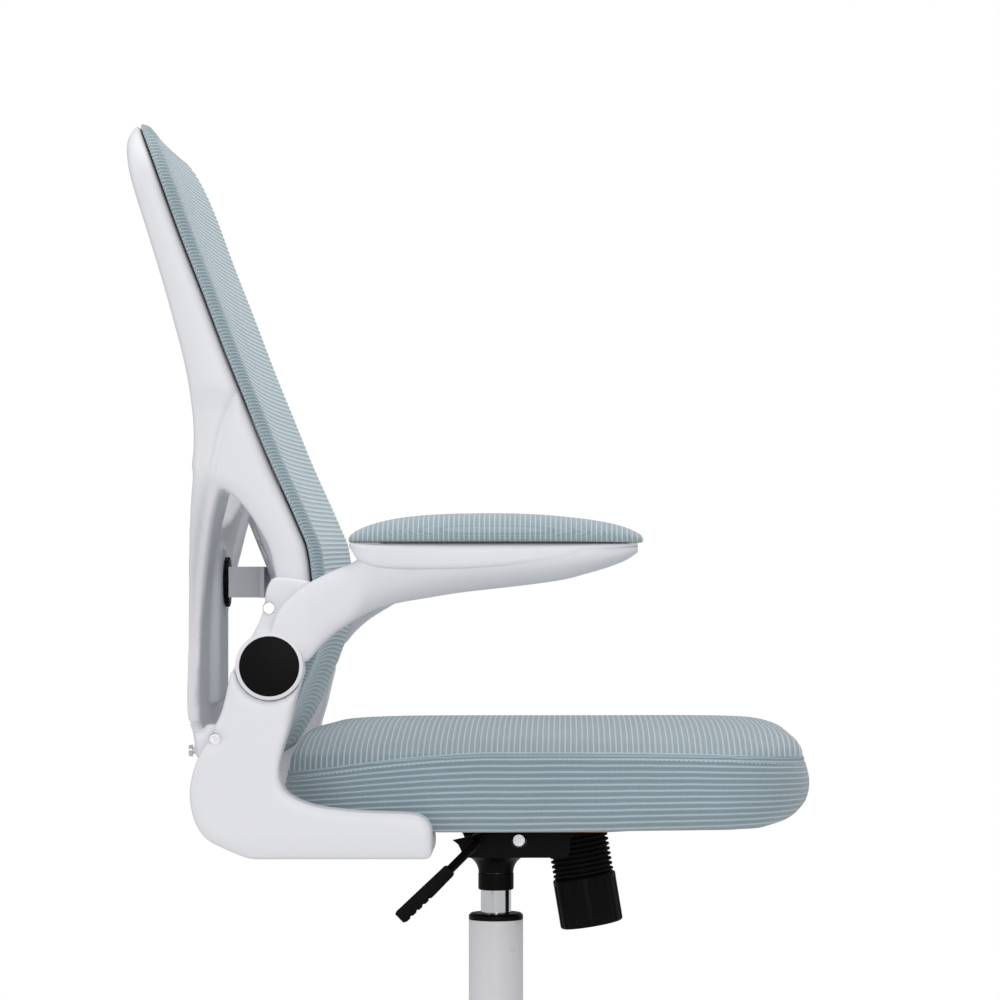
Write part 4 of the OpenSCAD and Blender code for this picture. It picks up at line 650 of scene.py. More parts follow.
def smooth_outline(points, count):
    """Closed smooth curve through points: each coordinate is a periodic cubic of the walked length
    (Catmull and Rom's)."""
    n = len(points)
    before, after, next2 = np.roll(points, 1, 0), np.roll(points, -1, 0), np.roll(points, -2, 0)
    t = np.linspace(0, 1, max(2, int(count / n)), endpoint=False)[None, :, None]
    a, b, c, d = before[:, None], points[:, None], after[:, None], next2[:, None]
    curve = 0.5 * (2 * b + (c - a) * t + (2 * a - 5 * b + 4 * c - d) * t ** 2
                   + (3 * b - a - 3 * c + d) * t ** 3)
    return curve.reshape(-1, points.shape[1])


SEAT_R_FRONT, SEAT_R_REAR = 0.086, 0.060


def seat_outline(inset, count):
    """Plan outline of the seat drawn in by an array of insets: (len(inset), count, 2), walked by angle so
    that points keep their place from ring to ring. Corners are quarter circles, larger at the front."""
    f, b, w, r1, r0 = SEAT_FRONT, -SEAT_REAR, SEAT_HALF, SEAT_R_FRONT, SEAT_R_REAR
    n = count // 8
    a = np.linspace(0, np.pi / 2, n, endpoint=False)
    s = np.linspace(0, 1, n, endpoint=False)
    inset = np.asarray(inset, float)[:, None]
    arc = lambda cx, cy, r, t0: np.stack([cx + (r - inset) * np.cos(a + t0),
                                          cy + (r - inset) * np.sin(a + t0)], -1)
    run = lambda x0, y0, x1, y1, nx, ny: np.stack([x0 + (x1 - x0) * s + 0 * inset - nx * inset,
                                                   y0 + (y1 - y0) * s + 0 * inset - ny * inset], -1)
    return np.concatenate([
        arc(f - r1, w - r1, r1, 0), run(f - r1, w, b + r0, w, 0, 1), arc(b + r0, w - r0, r0, np.pi / 2),
        run(b, w - r0, b, r0 - w, -1, 0), arc(b + r0, r0 - w, r0, np.pi), run(b + r0, -w, f - r1, -w, 0, -1),
        arc(f - r1, r1 - w, r1, 1.5 * np.pi), run(f, r1 - w, f, w - r1, 1, 0)], axis=1)


SEAT_LIFT, SEAM_FALL, NOSE_X, DOME_POWER = 0.007, 0.28, 0.150, 2.4
FRONT_FALL, REAR_FALL, REAR_TIGHT, NOSE_FALL, NOSE_FLAT = 0.42, 0.45, 1.5, 0.10, 3.0
BOARD_FRONT, BOARD_INSET, BOARD_HIGH, BOARD_GAP = 0.228, 0.0262, 0.0110, 0.0003
BAND_TABLE = np.array([[0.16, 0.24, 0.0], [0.07, 0.20, 0.06], [0.02, 0.12, 0.18], [0.0, 0.035, 0.36],
                       [0.0, 0.0, 0.62], [0.012, 0.02, 0.86], [0.04, 0.05, 1.0]])
CROWN_TABLE = np.array([[0.04, 0.0], [0.08, 0.55], [0.15, 0.85], [0.3, 0.96], [0.6, 1.0]])


def front_share(x):
    """Share of the way from the gas lift to the front edge, none behind it."""
    return np.clip(x / SEAT_FRONT, 0, 1)


def rear_share(x):
    """Share of the way from the gas lift to the rear edge, none ahead of it."""
    return np.clip(-x / SEAT_REAR, 0, 1)


def seat_lift(x):
    """The cushion's underside rises toward the front."""
    return SEAT_LIFT * front_share(x) ** 1.5


def seat_seam(x):
    """Height of the seam between side band and top, which drops toward the rear and a little at the nose."""
    return SEAT_Z + SEAT_BAND * (1 - SEAM_FALL * rear_share(x) ** 1.6 - NOSE_FALL * front_share(x) ** 4)


def seat_top(x, y):
    """Height of the domed top: a crown that falls with a power of the side, front and rear shares, flatter
    across the nose."""
    side = (np.abs(y) / SEAT_HALF) ** (DOME_POWER + NOSE_FLAT * front_share(x) ** 4)
    fall = side + FRONT_FALL * front_share(x) ** 6 + REAR_FALL * rear_share(x) ** 4
    return SEAT_Z + SEAT_BAND + SEAT_CROWN * (1 - fall)


def seat_form(shrink, count=256):
    """Rings of the seat from under the board up over the crown. The side band follows eased tables of
    inset against rise, drawn in further at the nose; the crown climbs from the seam to the domed top."""
    t = np.linspace(0, 1, 26)
    all_in = through(t, BAND_TABLE[:, 2], BAND_TABLE[:, 0] * SEAT_BAND)
    nose_in = through(t, BAND_TABLE[:, 2], BAND_TABLE[:, 1] * SEAT_BAND)[:, None]
    ring = seat_outline(all_in + shrink, count)
    nose = ramp(ring[..., 0], NOSE_X, SEAT_FRONT) ** 2
    z = (SEAT_Z + seat_lift(ring[..., 0])) * (1 - t[:, None]) + seat_seam(ring[..., 0]) * t[:, None]
    band = np.dstack([ring[..., 0] - nose_in * nose, ring[..., 1], z])
    inset = np.linspace(*CROWN_TABLE[[0, -1], 0], 22)[1:]
    climb = through(inset, CROWN_TABLE[:, 0], CROWN_TABLE[:, 1])[:, None]
    ring = seat_outline(inset * SEAT_BAND + shrink, count)

    def crown_at(x, y, share):
        """Crown height at a place: from seam to dome, sooner at the rear."""
        seam = seat_seam(x)
        done = 1 - (1 - share) ** (1 + REAR_TIGHT * rear_share(x) ** 4)
        return seam + (np.maximum(seam, seat_top(x, y) - 1.2 * shrink) - seam) * done

    crown = np.dstack([ring, crown_at(ring[..., 0], ring[..., 1], climb)])
    k = np.linspace(0.9, 0.1, 9)[:, None]
    mid = (SEAT_FRONT - SEAT_REAR) / 2
    x, y = mid + (ring[-1, :, 0] - mid) * k, ring[-1, :, 1] * k
    field = np.dstack([x, y, crown_at(x, y, 1.0)])
    under = seat_outline([BOARD_INSET], count)
    under[..., 0] = np.minimum(under[..., 0], BOARD_FRONT + BOARD_GAP)
    well = [np.dstack([under, np.full(under.shape[:2], SEAT_Z + BOARD_GAP + high)])
            for high in (BOARD_HIGH, 0)]
    return np.concatenate([*well, band, crown, field])


CLOTH_FRAMES, CLOTH_MASS, PRESSURE, STRETCH_STIFF, SHEAR_STIFF, BEND_STIFF = 20, 0.3, 4.0, 18, 9, 0.8


def puff(obj, voxel, cap, held, keep=1.0):
    """Cloth pass on a closed piece: voxel remesh, inflate with gravity off, keep a share of the movement
    with a cap on how far a point goes, then apply and subdivide once. held(co) gives the weight that pins
    each point."""
    scene = bpy.context.scene
    bpy.context.view_layer.objects.active = obj
    remesh = obj.modifiers.new("remesh", "REMESH")
    remesh.mode, remesh.voxel_size = "VOXEL", voxel
    bake(obj)
    start = vertices_of(obj)
    pins = obj.vertex_groups.new(name="held")
    weight = held(start)
    for level, chosen in ((0.5, (weight >= 0.25) & (weight < 0.75)), (1.0, weight >= 0.75)):
        pins.add([int(i) for i in np.nonzero(chosen)[0]], level, "REPLACE")
    cloth = obj.modifiers.new("cloth", "CLOTH")
    s = cloth.settings
    s.quality, s.mass, s.time_scale = 6, CLOTH_MASS, 1.0
    s.tension_stiffness = s.compression_stiffness = STRETCH_STIFF
    s.shear_stiffness, s.bending_stiffness = SHEAR_STIFF, BEND_STIFF
    s.use_pressure, s.uniform_pressure_force = True, PRESSURE
    s.effector_weights.gravity = 0
    s.vertex_group_mass = "held"
    cloth.point_cache.frame_start, cloth.point_cache.frame_end = 1, CLOTH_FRAMES
    for frame_number in range(1, CLOTH_FRAMES + 1):
        scene.frame_set(frame_number)
    moved = obj.evaluated_get(bpy.context.evaluated_depsgraph_get()).data
    step = np.array([v.co for v in moved.vertices]) - start
    obj.modifiers.remove(cloth)
    scene.frame_set(1)
    size = np.linalg.norm(step, axis=1, keepdims=True)
    step *= keep * np.minimum(1, cap / np.maximum(size, 1e-9)) * (1 - np.clip(weight, 0, 1))[:, None]
    move_vertices(obj, start + step)
    obj.vertex_groups.clear()
    smooth_surface(obj, 2)
    obj.data.update()
    sub = obj.modifiers.new("subdivide", "SUBSURF")
    sub.levels = sub.render_levels = 1
    shade_smooth(bake(obj))


def smooth_surface(obj, rounds):
    """Takes out the remesh's steps: each vertex moves half way to the mean of its neighbours, a few times."""
    mesh = obj.data
    edges = np.empty(len(mesh.edges) * 2, np.int32)
    mesh.edges.foreach_get("vertices", edges)
    edges = edges.reshape(-1, 2)
    co = vertices_of(obj)
    count = np.bincount(edges.ravel(), minlength=len(co))[:, None]
    for _ in range(rounds):
        near = np.zeros_like(co)
        np.add.at(near, edges[:, 0], co[edges[:, 1]])
        np.add.at(near, edges[:, 1], co[edges[:, 0]])
        co = 0.5 * co + 0.5 * near / count
    move_vertices(obj, co)


WELD, FLAT_ANGLE, SHARP_ANGLE, CORNER_ANGLE = 0.00002, math.radians(0.6), math.radians(24), math.radians(32)


def softened(node, width):
    """Copy of a CAD node with its loose triangles merged and its outer edges rounded by a bevel. It
    replaces the node."""
    obj = linked(node + "_moulded", frame["nodes"][node].data.copy())
    bpy.context.view_layer.objects.active = obj
    obj.modifiers.new("weld", "WELD").merge_threshold = WELD
    flat = obj.modifiers.new("flat", "DECIMATE")
    flat.decimate_type, flat.angle_limit = "DISSOLVE", FLAT_ANGLE
    bevel = obj.modifiers.new("round", "BEVEL")
    bevel.width, bevel.segments, bevel.limit_method = width, 2, "ANGLE"
    bevel.angle_limit, bevel.use_clamp_overlap = CORNER_ANGLE, True
    mesh = bake(obj)
    shade_smooth(mesh)
    mesh.set_sharp_from_angle(angle=SHARP_ANGLE)
    paint(obj, SLOT_OF[node])
    dress(obj, BODY_OF[node], SLOT_OF[node], node)


BODY_OF = {node: body for body, nodes in frame["record"]["behaviour"]["bodies"].items() for node in nodes}
SLOT_OF = {part["node"]: part["material_slot"] for part in frame["record"]["subparts"]}
SIDES = ((1, "left"), (-1, "right"))


def dress(obj, body, slot, *nodes):
    """Puts a finished piece on its body and, where given, hides the nodes that it stands for. The slot is not
    used.
    """
    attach(obj, body)
    if nodes:
        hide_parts(*nodes)


def mirrored(grid, side):
    """The grid as it is for the left side, and its mirror image for the right."""
    return grid * [1, side, 1]


# ---------------------------------------------------------------- soft pieces
SIDE_RIBS, SIDE_TURN, TURN_X = 12.5, 0.24, 0.05
SEAT_SHRINK, SEAT_VOXEL, SEAT_HELD, SEAT_HELD_RUN, SEAT_CAP, SEAT_KEEP = 0.0008, 0.005, 0.016, 0.012, 0.008, 0.3
PIPING, SEAM_INSET, STITCH_INSET, STITCH_BELOW = 0.0009, 0.04, 0.02, 0.0050
SEAT_STITCH, EDGE_STITCH = (0.0014, 0.00055, 0.0005), (0.0013, 0.00055, 0.00045)


def build_seat(s):
    """Padded seat with piping round its seam and a row of stitches under it, and its board cut to it."""
    seat = shell("seat_padding", seat_form(SEAT_SHRINK), material_of("seat_fabric"))
    puff(seat, SEAT_VOXEL, SEAT_CAP,
         lambda co: np.clip((SEAT_Z + SEAT_HELD - co[:, 2]) / SEAT_HELD_RUN, 0, 1), SEAT_KEEP)
    paint(seat, "seat_fabric")
    x, y, z = vertices_of(seat).T
    low, seam = SEAT_Z + seat_lift(x), seat_seam(x)
    share = np.clip((z - low) / (seam - low), -0.3, 1.3)
    for name, values in (("above", z - seam), ("run", (1.0 - share) * SIDE_RIBS * s.seat_pitch),
                         ("along", np.arctan2(y, x - TURN_X) * SIDE_TURN), ("run_top", x), ("along_top", y)):
        point_attribute(seat, name, values)
    dress(seat, "seat", "seat_fabric", "seat_cushion")
    board = linked("seat_board_trimmed", frame["nodes"]["seat_board"].data.copy())
    move_vertices(board, np.minimum(vertices_of(board), [BOARD_FRONT, np.inf, np.inf]))
    paint(board, SLOT_OF["seat_board"])
    dress(board, "seat", SLOT_OF["seat_board"], "seat_board")
    ring = seat_outline([SEAM_INSET * SEAT_BAND], 512)[0]
    line, _ = onto(seat, np.column_stack([ring, seat_seam(ring[:, 0])]))
    dress(cord_loop("seat_piping", line, PIPING, 8, material_of("seat_piping")), "seat", "seat_fabric")
    ring = seat_outline([STITCH_INSET * SEAT_BAND], 512)[0]
    low = np.column_stack([ring, seat_seam(ring[:, 0]) - STITCH_BELOW])
    sew("seat_stitches", seat, low, s.stitch_pitch, SEAT_STITCH, "seat_fabric")


PAD_TABLE = np.array([
    [0.0, 0.20, 0.20], [0.02, 0.38, 0.42], [0.055, 0.55, 0.62], [0.11, 0.72, 0.80], [0.19, 0.87, 0.92],
    [0.28, 0.95, 0.98], [0.38, 0.99, 1.0], [0.50, 1.0, 1.0], [0.62, 0.97, 1.0], [0.74, 0.88, 0.985],
    [0.84, 0.76, 0.93], [0.91, 0.62, 0.83], [0.955, 0.47, 0.68], [0.985, 0.32, 0.48], [1.0, 0.16, 0.24]])
PAD_START, PAD_REACH, PAD_LOW, PAD_SHRINK, PAD_VOXEL = 0.208, 0.802, 0.3, 0.0012, 0.0028
PAD_HELD, PAD_HELD_RUN, PAD_CAP, PAD_SLANT = 0.004, 0.003, 0.004, 0.4
ARM_BODY = {"left": "arm_l", "right": "arm_r"}
TRAY_Z = PIVOT[2] + ARM_RISE * TRAY_TOP


def pad_form(shrink, rows=90, cols=72):
    """Arm pad: half-round sections whose height and half width follow one table along its length, flat
    underneath."""
    t = 0.5 - 0.5 * np.cos(np.linspace(0.06, np.pi - 0.04, rows))
    h = (PAD_RISE * through(t, PAD_TABLE[:, 0], PAD_TABLE[:, 1]) - shrink)[:, None]
    w = (PAD_HALF * through(t, PAD_TABLE[:, 0], PAD_TABLE[:, 2]) - shrink)[:, None]
    c, sn = np.cos(circle(cols))[None], np.sin(circle(cols))[None]
    low = PAD_LOW * h
    y = ARM_Y + w * np.sign(c) * np.where(sn > 0, np.abs(c) ** 0.85, np.abs(c) ** 0.6)
    z = TRAY_Z + BOARD_GAP + np.where(sn > 0, low + (h - low) * np.abs(sn) ** 0.95,
                                      low * (1 - np.abs(sn) ** 0.45))
    x = PIVOT[0] + ARM_REACH * PAD_START + ARM_REACH * PAD_REACH * t
    return np.dstack([np.broadcast_to(x[:, None], y.shape), y, z])


def build_pads(s):
    """Padded armrests."""
    for side, label in SIDES:
        grid = mirrored(pad_form(PAD_SHRINK), side)
        pad = shell("arm_padding_" + label, grid, material_of("pad_fabric"))
        puff(pad, PAD_VOXEL, PAD_CAP,
             lambda co: np.clip((TRAY_Z + PAD_HELD - co[:, 2]) / PAD_HELD_RUN, 0, 1))
        paint(pad, "pad_fabric")
        x, y, z = vertices_of(pad).T
        point_attribute(pad, "run", x)
        point_attribute(pad, "along", y * side + PAD_SLANT * z)
        dress(pad, ARM_BODY[label], "pad_fabric", "arm_pad_" + label)


MESH_INSET, MESH_BOW, BOW_TOP, BOW_RUN, RIB_RISE, MESH_THICK = 0.007, 0.014, 0.60, 0.12, 0.00035, 0.0009


def build_back_mesh(s):
    """Stretched mesh: a sheet whose rows are real ribs, each a raised cosine across the height, over the
    hollow face."""
    ribs = int(round(BACK_H / s.mesh_pitch))
    z = np.linspace(BACK_Z0 + MESH_INSET, BACK_Z1 - MESH_INSET, ribs * 5 + 1)[:, None]
    r, over = BACK_R - MESH_INSET, np.maximum(BACK_Z0 + BACK_R - z, z - (BACK_Z1 - BACK_R))
    half = BACK_HALF - BACK_R + np.sqrt(np.maximum(r ** 2 - np.maximum(0, over) ** 2, 0))
    share = np.sin(np.linspace(-np.pi / 2, np.pi / 2, 41))[None]
    y = half * share
    run = z - MESH_BOW * np.clip((BOW_TOP - z) / BOW_RUN, 0, 1) * (1 - share ** 2)
    rib = RIB_RISE * np.cos(2 * np.pi * run / s.mesh_pitch)
    front = np.dstack([mesh_face(y, z + 0 * y) + rib, y, np.broadcast_to(z, y.shape)])
    sheet = mesh_piece("back_mesh_sheet", front.reshape(-1, 3), grid_faces(*y.shape, ring=False),
                       material_of("back_mesh_fabric"))
    point_attribute(sheet, "run", run)
    point_attribute(sheet, "along", y)
    wall = sheet.modifiers.new("thickness", "SOLIDIFY")
    wall.thickness, wall.offset = MESH_THICK, 0.0
    dress(sheet, "seat", "back_mesh_fabric", "back_mesh")


TAPE = np.array([
    [0.0016, 0.0014], [0.0004, 0.0012], [-0.0004, 0.0026], [-0.0003, 0.0050], [0.0004, 0.0078],
    [0.0022, 0.0106], [0.0050, 0.0122], [0.0080, 0.0126], [0.0102, 0.0119], [0.0112, 0.0106],
    [0.0104, 0.0092], [0.0072, 0.0078], [0.0044, 0.0056], [0.0026, 0.0036], [0.0020, 0.0026]])
UPRIGHT_RUN, SLANT, RIM_FRONT, HOLLOW_FROM, HOLLOW_TO = 0.03, 0.55, 0.0030, 0.003, 0.012


def build_back_edge(s):
    """Sewn edge of the mesh: a padded strip round the rim, its section a smooth closed curve of inset
    against reach, with ribs that cross it on a slant, and a row of stitches beside the dark rim."""
    section = smooth_outline(TAPE, 60)
    loops = np.stack([inset_loop(d, 640) for d in section[:, 0]], 1)
    reach = section[None, :, 1]
    hollow = MESH_HOLLOW * (1 - (loops[..., 0] / BACK_HALF) ** 2)
    x = rake_at(loops[..., 1]) + reach - hollow * ramp(reach, HOLLOW_FROM, HOLLOW_TO)
    edge = shell("back_mesh_edge", np.dstack([x, loops]), material_of("edge_tape"), loop=True)
    across = np.broadcast_to(section[None, :, 0] - 0.5 * reach, x.shape)
    step = np.linalg.norm(np.diff(loops[:, 0], axis=0, append=loops[:1, 0]), axis=1)
    upright = np.abs(loops[..., 0]) > BACK_HALF - UPRIGHT_RUN
    run = np.where(upright, loops[..., 1], np.cumsum(step)[:, None])
    point_attribute(edge, "run", run + SLANT * across)
    point_attribute(edge, "along", across)
    dress(edge, "seat", "back_mesh_fabric")
    path = inset_loop(0.0001, 900)
    path = np.column_stack([rake_at(path[:, 1]) + RIM_FRONT, path])
    sew("back_edge_stitches", edge, path, s.stitch_pitch, EDGE_STITCH, "back_mesh_fabric")


# ---------------------------------------------------------------- moulded pieces
RAIL_POWER, RAIL_TURN, LEG_POWER = 4.2, 0.04, 5.0


def frame_form():
    """Frame of the back: a squarish section carried round the outline, its depth after the table."""
    c, sn = power_round(circle(40) + RAIL_TURN, RAIL_POWER)
    width, deep = 0.5 + 0.5 * c, 0.5 + 0.5 * sn
    loops = np.stack([inset_loop(RAIL_W * w, 620) for w in width], 1)
    z = loops[..., 1]
    f = rake_at(z)
    x = (f - depth_at(z)) * (1 - deep[None]) + f * deep[None]
    return np.dstack([x, loops])


def fused(name, meshes, voxel, rounds, slot, bend=None):
    """One moulding from closed meshes that touch: fused on a voxel grid and eased by smoothing so that
    edges and joins turn into fillets, then bent by a function of its points where one is given and eased
    a little more."""
    both = bmesh.new()
    for mesh in meshes:
        both.from_mesh(mesh)
    data = bpy.data.meshes.new(name)
    both.to_mesh(data)
    both.free()
    obj = linked(name, data)
    remesh = obj.modifiers.new("remesh", "REMESH")
    remesh.mode, remesh.voxel_size = "VOXEL", voxel
    whole = bake(obj)
    smooth_surface(obj, rounds)
    if bend is not None:
        move_vertices(obj, bend(vertices_of(obj)))
        smooth_surface(obj, 1)
    shade_smooth(whole)
    paint(obj, slot)
    whole.update()
    return obj


FOOT_SWEEP, FOOT_TOP, FOOT_X, FOOT_EASE, SPINE_HALF = 0.014, 0.100, -0.235, 0.04, 0.131
PANEL_LIFT, PANEL_Z, PANEL_RISE, PANEL_HALF, PANEL_EASE = 0.034, 0.622, 0.02, 0.165, 0.06
PANEL_BOW = np.array([[0.638, 0.0], [0.650, 0.0040], [0.664, 0.0100], [0.678, 0.0150]])
SLOT_HALF, SLOT_LOW, SLOT_HIGH, SLOT_NEAR, SLOT_EASE, SLOT_EDGE = 0.0068, 0.577, 0.617, 0.02, 0.0030, 0.006
LEG_TABLE = np.array([
    [0.705, -0.2588, -0.2290, 0.2242], [0.690, -0.2592, -0.2315, 0.2236], [0.675, -0.2610, -0.2360, 0.2185],
    [0.660, -0.2628, -0.2402, 0.2090], [0.645, -0.2646, -0.2440, 0.1970], [0.628, -0.2662, -0.2470, 0.1830],
    [0.608, -0.2680, -0.2508, 0.1660], [0.592, -0.2689, -0.2535, 0.1540], [0.567, -0.2703, -0.2573, 0.1400],
    [0.540, -0.2711, -0.2591, 0.1325], [0.520, -0.2712, -0.2598, 0.1312]])
LEG_T = 0.020
CREASE = np.array([
    [0.50, -0.2663], [0.54, -0.2660], [0.566, -0.2649], [0.600, -0.2613], [0.633, -0.2553],
    [0.659, -0.2494], [0.684, -0.2430], [0.707, -0.2385], [0.733, -0.2323], [0.762, -0.2208]])
CREASE_STEP, CREASE_RUN, GROOVE, GROOVE_HALF = 0.0022, 0.0040, 0.0046, 0.0027
CREASE_TOP, TOP_FADE, FOOT_FADE, SKIN_DEEP, SKIN_FADE = 0.768, 0.02, 0.05, 0.018, 0.010


def spine_flow(co):
    """Carries the spine's foot forward toward its ears, lifts and bows the top of its panel toward the
    arch, and opens the lumbar slot by what the fusing will close."""
    side = np.abs(co[:, 1])
    out = np.clip((side - SPINE_HALF) / (BACK_HALF - SPINE_HALF), 0, 1.3)
    low = np.clip((BACK_Z0 + FOOT_TOP - co[:, 2]) / FOOT_EASE, 0, 1)
    moved = co.copy()
    moved[:, 0] += FOOT_SWEEP * out * low * (co[:, 0] < FOOT_X)
    panel = np.clip((PANEL_HALF - side) / PANEL_EASE, 0, 1)
    moved[:, 2] += PANEL_LIFT * panel * np.clip((co[:, 2] - PANEL_Z) / PANEL_RISE, 0, 1)
    moved[:, 0] += panel * np.interp(moved[:, 2], *PANEL_BOW.T)
    slot = (side < SLOT_HALF) & (co[:, 2] > SLOT_LOW - SLOT_NEAR) & (co[:, 2] < SLOT_HIGH + SLOT_NEAR)
    moved[slot, 1] *= 1 + SLOT_EASE / SLOT_EDGE
    moved[slot, 2] += SLOT_EASE * ((co[slot, 2] > SLOT_HIGH) * 1.0 - (co[slot, 2] < SLOT_LOW))
    return moved


def leg_form(side):
    """Leg that carries the rail's face down into the spine: a squarish section at each height of the
    leg's table."""
    z = np.linspace(LEG_TABLE[0, 0], LEG_TABLE[-1, 0], 60)
    rear, front, out = (through(-z, -LEG_TABLE[:, 0], LEG_TABLE[:, k]) for k in (1, 2, 3))
    c, sn = power_round(circle(32), LEG_POWER)
    x = (rear + front)[:, None] / 2 + (front - rear)[:, None] / 2 * c
    y = out[:, None] - LEG_T / 2 + LEG_T / 2 * sn
    grid = np.dstack([x, y, z[:, None] + 0 * x])
    return grid if side > 0 else grid[:, ::-1] * [1, -1, 1]


def crease_flow(co):
    """Presses a soft groove into the moulding's side face along a line that sweeps down from the rail into
    the leg, and sets the face behind it a little inward: the groove is exp(-(distance / half width)^2),
    and both fade at the ends."""
    side = np.abs(co[:, 1])
    ahead = co[:, 0] - np.interp(co[:, 2], *CREASE.T)
    behind = np.clip(-ahead / CREASE_RUN, 0, 1)
    depth = CREASE_STEP * ease(behind) + GROOVE * np.exp(-(ahead / GROOVE_HALF) ** 2)
    fade = (np.clip((CREASE_TOP - co[:, 2]) / TOP_FADE, 0, 1)
            * np.clip((co[:, 2] - CREASE[0, 0]) / FOOT_FADE, 0, 1))
    skin = np.interp(co[:, 2], LEG_TABLE[::-1, 0], LEG_TABLE[::-1, 3])
    outer = np.clip((side - skin + SKIN_DEEP) / SKIN_FADE, 0, 1)
    moved = co.copy()
    moved[:, 1] -= np.sign(co[:, 1]) * depth * fade * outer
    return moved


BACK_VOXEL, BRACKET_VOXEL, FUSED_ROUNDS = 0.0023, 0.0024, 8


def build_back_moulding(s):
    """Frame and spine of the back as one moulding."""
    forms = [shell("frame_loop", frame_form(), loop=True)]
    forms += [shell("frame_leg", leg_form(side)) for side in (1, -1)]
    spine = frame["nodes"]["back_spine"].copy()
    spine.data = spine.data.copy()
    move_vertices(spine, spine_flow(vertices_of(spine)))
    forms.append(spine)
    obj = fused("back_moulding", [form.data for form in forms], BACK_VOXEL, FUSED_ROUNDS, "white_plastic",
                crease_flow)
    for form in forms:
        bpy.data.objects.remove(form)
    dress(obj, "seat", "white_plastic", "back_frame", "back_spine")


def build_brackets(s):
    """Arm brackets with eased edges."""
    for label in ("right", "left"):
        node = "arm_bracket_" + label
        obj = fused(node + "_moulded", [frame["nodes"][node].data], BRACKET_VOXEL, FUSED_ROUNDS,
                    "white_plastic")
        dress(obj, "seat", "white_plastic", node)


ARM_TABLE = np.array([
    [-0.03, 0.02, 0.2, 10], [-0.005, 0.01, 0.255, 10.5], [0.02, 0.0, 0.44, 11], [0.06, 0.0, 0.575, 11.4],
    [0.10, 0.04, 0.665, 11.6], [0.14, 0.17, 0.73, 14.5], [0.18, 0.275, 0.785, 16.5], [0.21, 0.335, 0.82, 18],
    [0.235, 0.38, 0.862, 21], [0.27, 0.44, 0.93, 26], [0.31, 0.485, 0.97, 30], [0.36, 0.52, 0.97, 33],
    [0.42, 0.55, 0.97, 35.5], [0.50, 0.59, 0.97, 37], [0.60, 0.625, 0.97, 38], [0.70, 0.66, 0.97, 38],
    [0.79, 0.70, 0.97, 37], [0.86, 0.755, 0.97, 35], [0.92, 0.81, 0.97, 31], [0.96, 0.86, 0.97, 26],
    [0.99, 0.92, 0.97, 16]])
NECK_POWER, WALL_UP, WALL_WIDE, KEEL_UP, KEEL_WIDE, TRAY_WALL = 3.2, 7, 6, 2.2, 1.35, 0.28
TRAY_BEGINS, TRAY_FULL, TIP_RINGS, TIP_RUN, TRAY_POWER, TRAY_TURN = 0.2, 0.28, 12, 0.05, 6.0, 0.03


def arm_form(rows=150, cols=96):
    """Arm: sections from the hub to the tip. Below the middle a keel, above it a tray wall; powers of the
    sine and cosine ease from the round neck to the tray."""
    t = np.linspace(*ARM_TABLE[[0, -1], 0], rows)
    t[-TIP_RINGS:] = t[-1] - TIP_RUN * np.linspace(1, 0, TIP_RINGS) ** 2
    low, top, half = (through(t, ARM_TABLE[:, 0], ARM_TABLE[:, k])[:, None] for k in (1, 2, 3))
    z0, z1 = PIVOT[2] + ARM_RISE * low, PIVOT[2] + ARM_RISE * top
    tray = ease(ramp(t[:, None], TRAY_BEGINS, TRAY_FULL))
    c, sn = np.cos(circle(cols))[None], np.sin(circle(cols))[None]
    root = lambda end: 2 / (NECK_POWER + (end - NECK_POWER) * tray)
    up = np.where(sn > 0, np.abs(sn) ** root(WALL_UP), -np.abs(sn) ** root(KEEL_UP))
    wide = np.sign(c) * np.abs(c) ** np.where(sn > 0, root(WALL_WIDE), root(KEEL_WIDE))
    mid = (z0 + z1) / 2 * (1 - tray) + (z1 - TRAY_WALL * (z1 - z0)) * tray
    z = np.where(up > 0, mid + up * (z1 - mid), mid + up * (mid - z0))
    x = np.broadcast_to((PIVOT[0] + ARM_REACH * t)[:, None], z.shape)
    return np.dstack([x, ARM_Y + 0.001 * half * wide, z])


TRAY_TABLE = np.array([
    [0.2135, 0.27, 0.965], [0.222, 0.42, 0.933], [0.235, 0.55, 0.87], [0.27, 0.71, 0.81], [0.31, 0.82, 0.785],
    [0.40, 0.91, 0.772], [0.50, 0.935, 0.775], [0.60, 0.935, 0.79], [0.70, 0.92, 0.825], [0.79, 0.89, 0.865],
    [0.86, 0.83, 0.91], [0.92, 0.72, 0.94], [0.96, 0.58, 0.958], [0.99, 0.36, 0.972]])


def tray_form(rows=140, cols=64):
    """Tray under the pad: squarish sections whose width and lower edge follow one table along the arm."""
    t0, t1 = TRAY_TABLE[[0, -1], 0]
    t = t0 + (t1 - t0) * (0.5 - 0.5 * np.cos(np.linspace(0, np.pi, rows)))
    half, low = (through(t, TRAY_TABLE[:, 0], TRAY_TABLE[:, k])[:, None] for k in (1, 2))
    c, sn = power_round(circle(cols) + TRAY_TURN, TRAY_POWER)
    up = 0.5 + 0.5 * sn[None]
    z = PIVOT[2] + ARM_RISE * (low * (1 - up) + TRAY_TOP * up)
    x = np.broadcast_to((PIVOT[0] + ARM_REACH * t)[:, None], z.shape)
    return np.dstack([x, ARM_Y + PAD_HALF * half * c[None], z])


HUB_PROFILE = np.array([
    [0.0081, 0.0], [0.027, 0.0], [0.0286, 0.0006], [0.029, 0.0022], [0.029, 0.0218], [0.0286, 0.0234],
    [0.0272, 0.024], [0.0258, 0.024], [0.02555, 0.0237], [0.02555, 0.0205], [0.0250, 0.0205],
    [0.0081, 0.0205]])
HUB_INNER, HUB_SHARP = 0.012, math.radians(40)


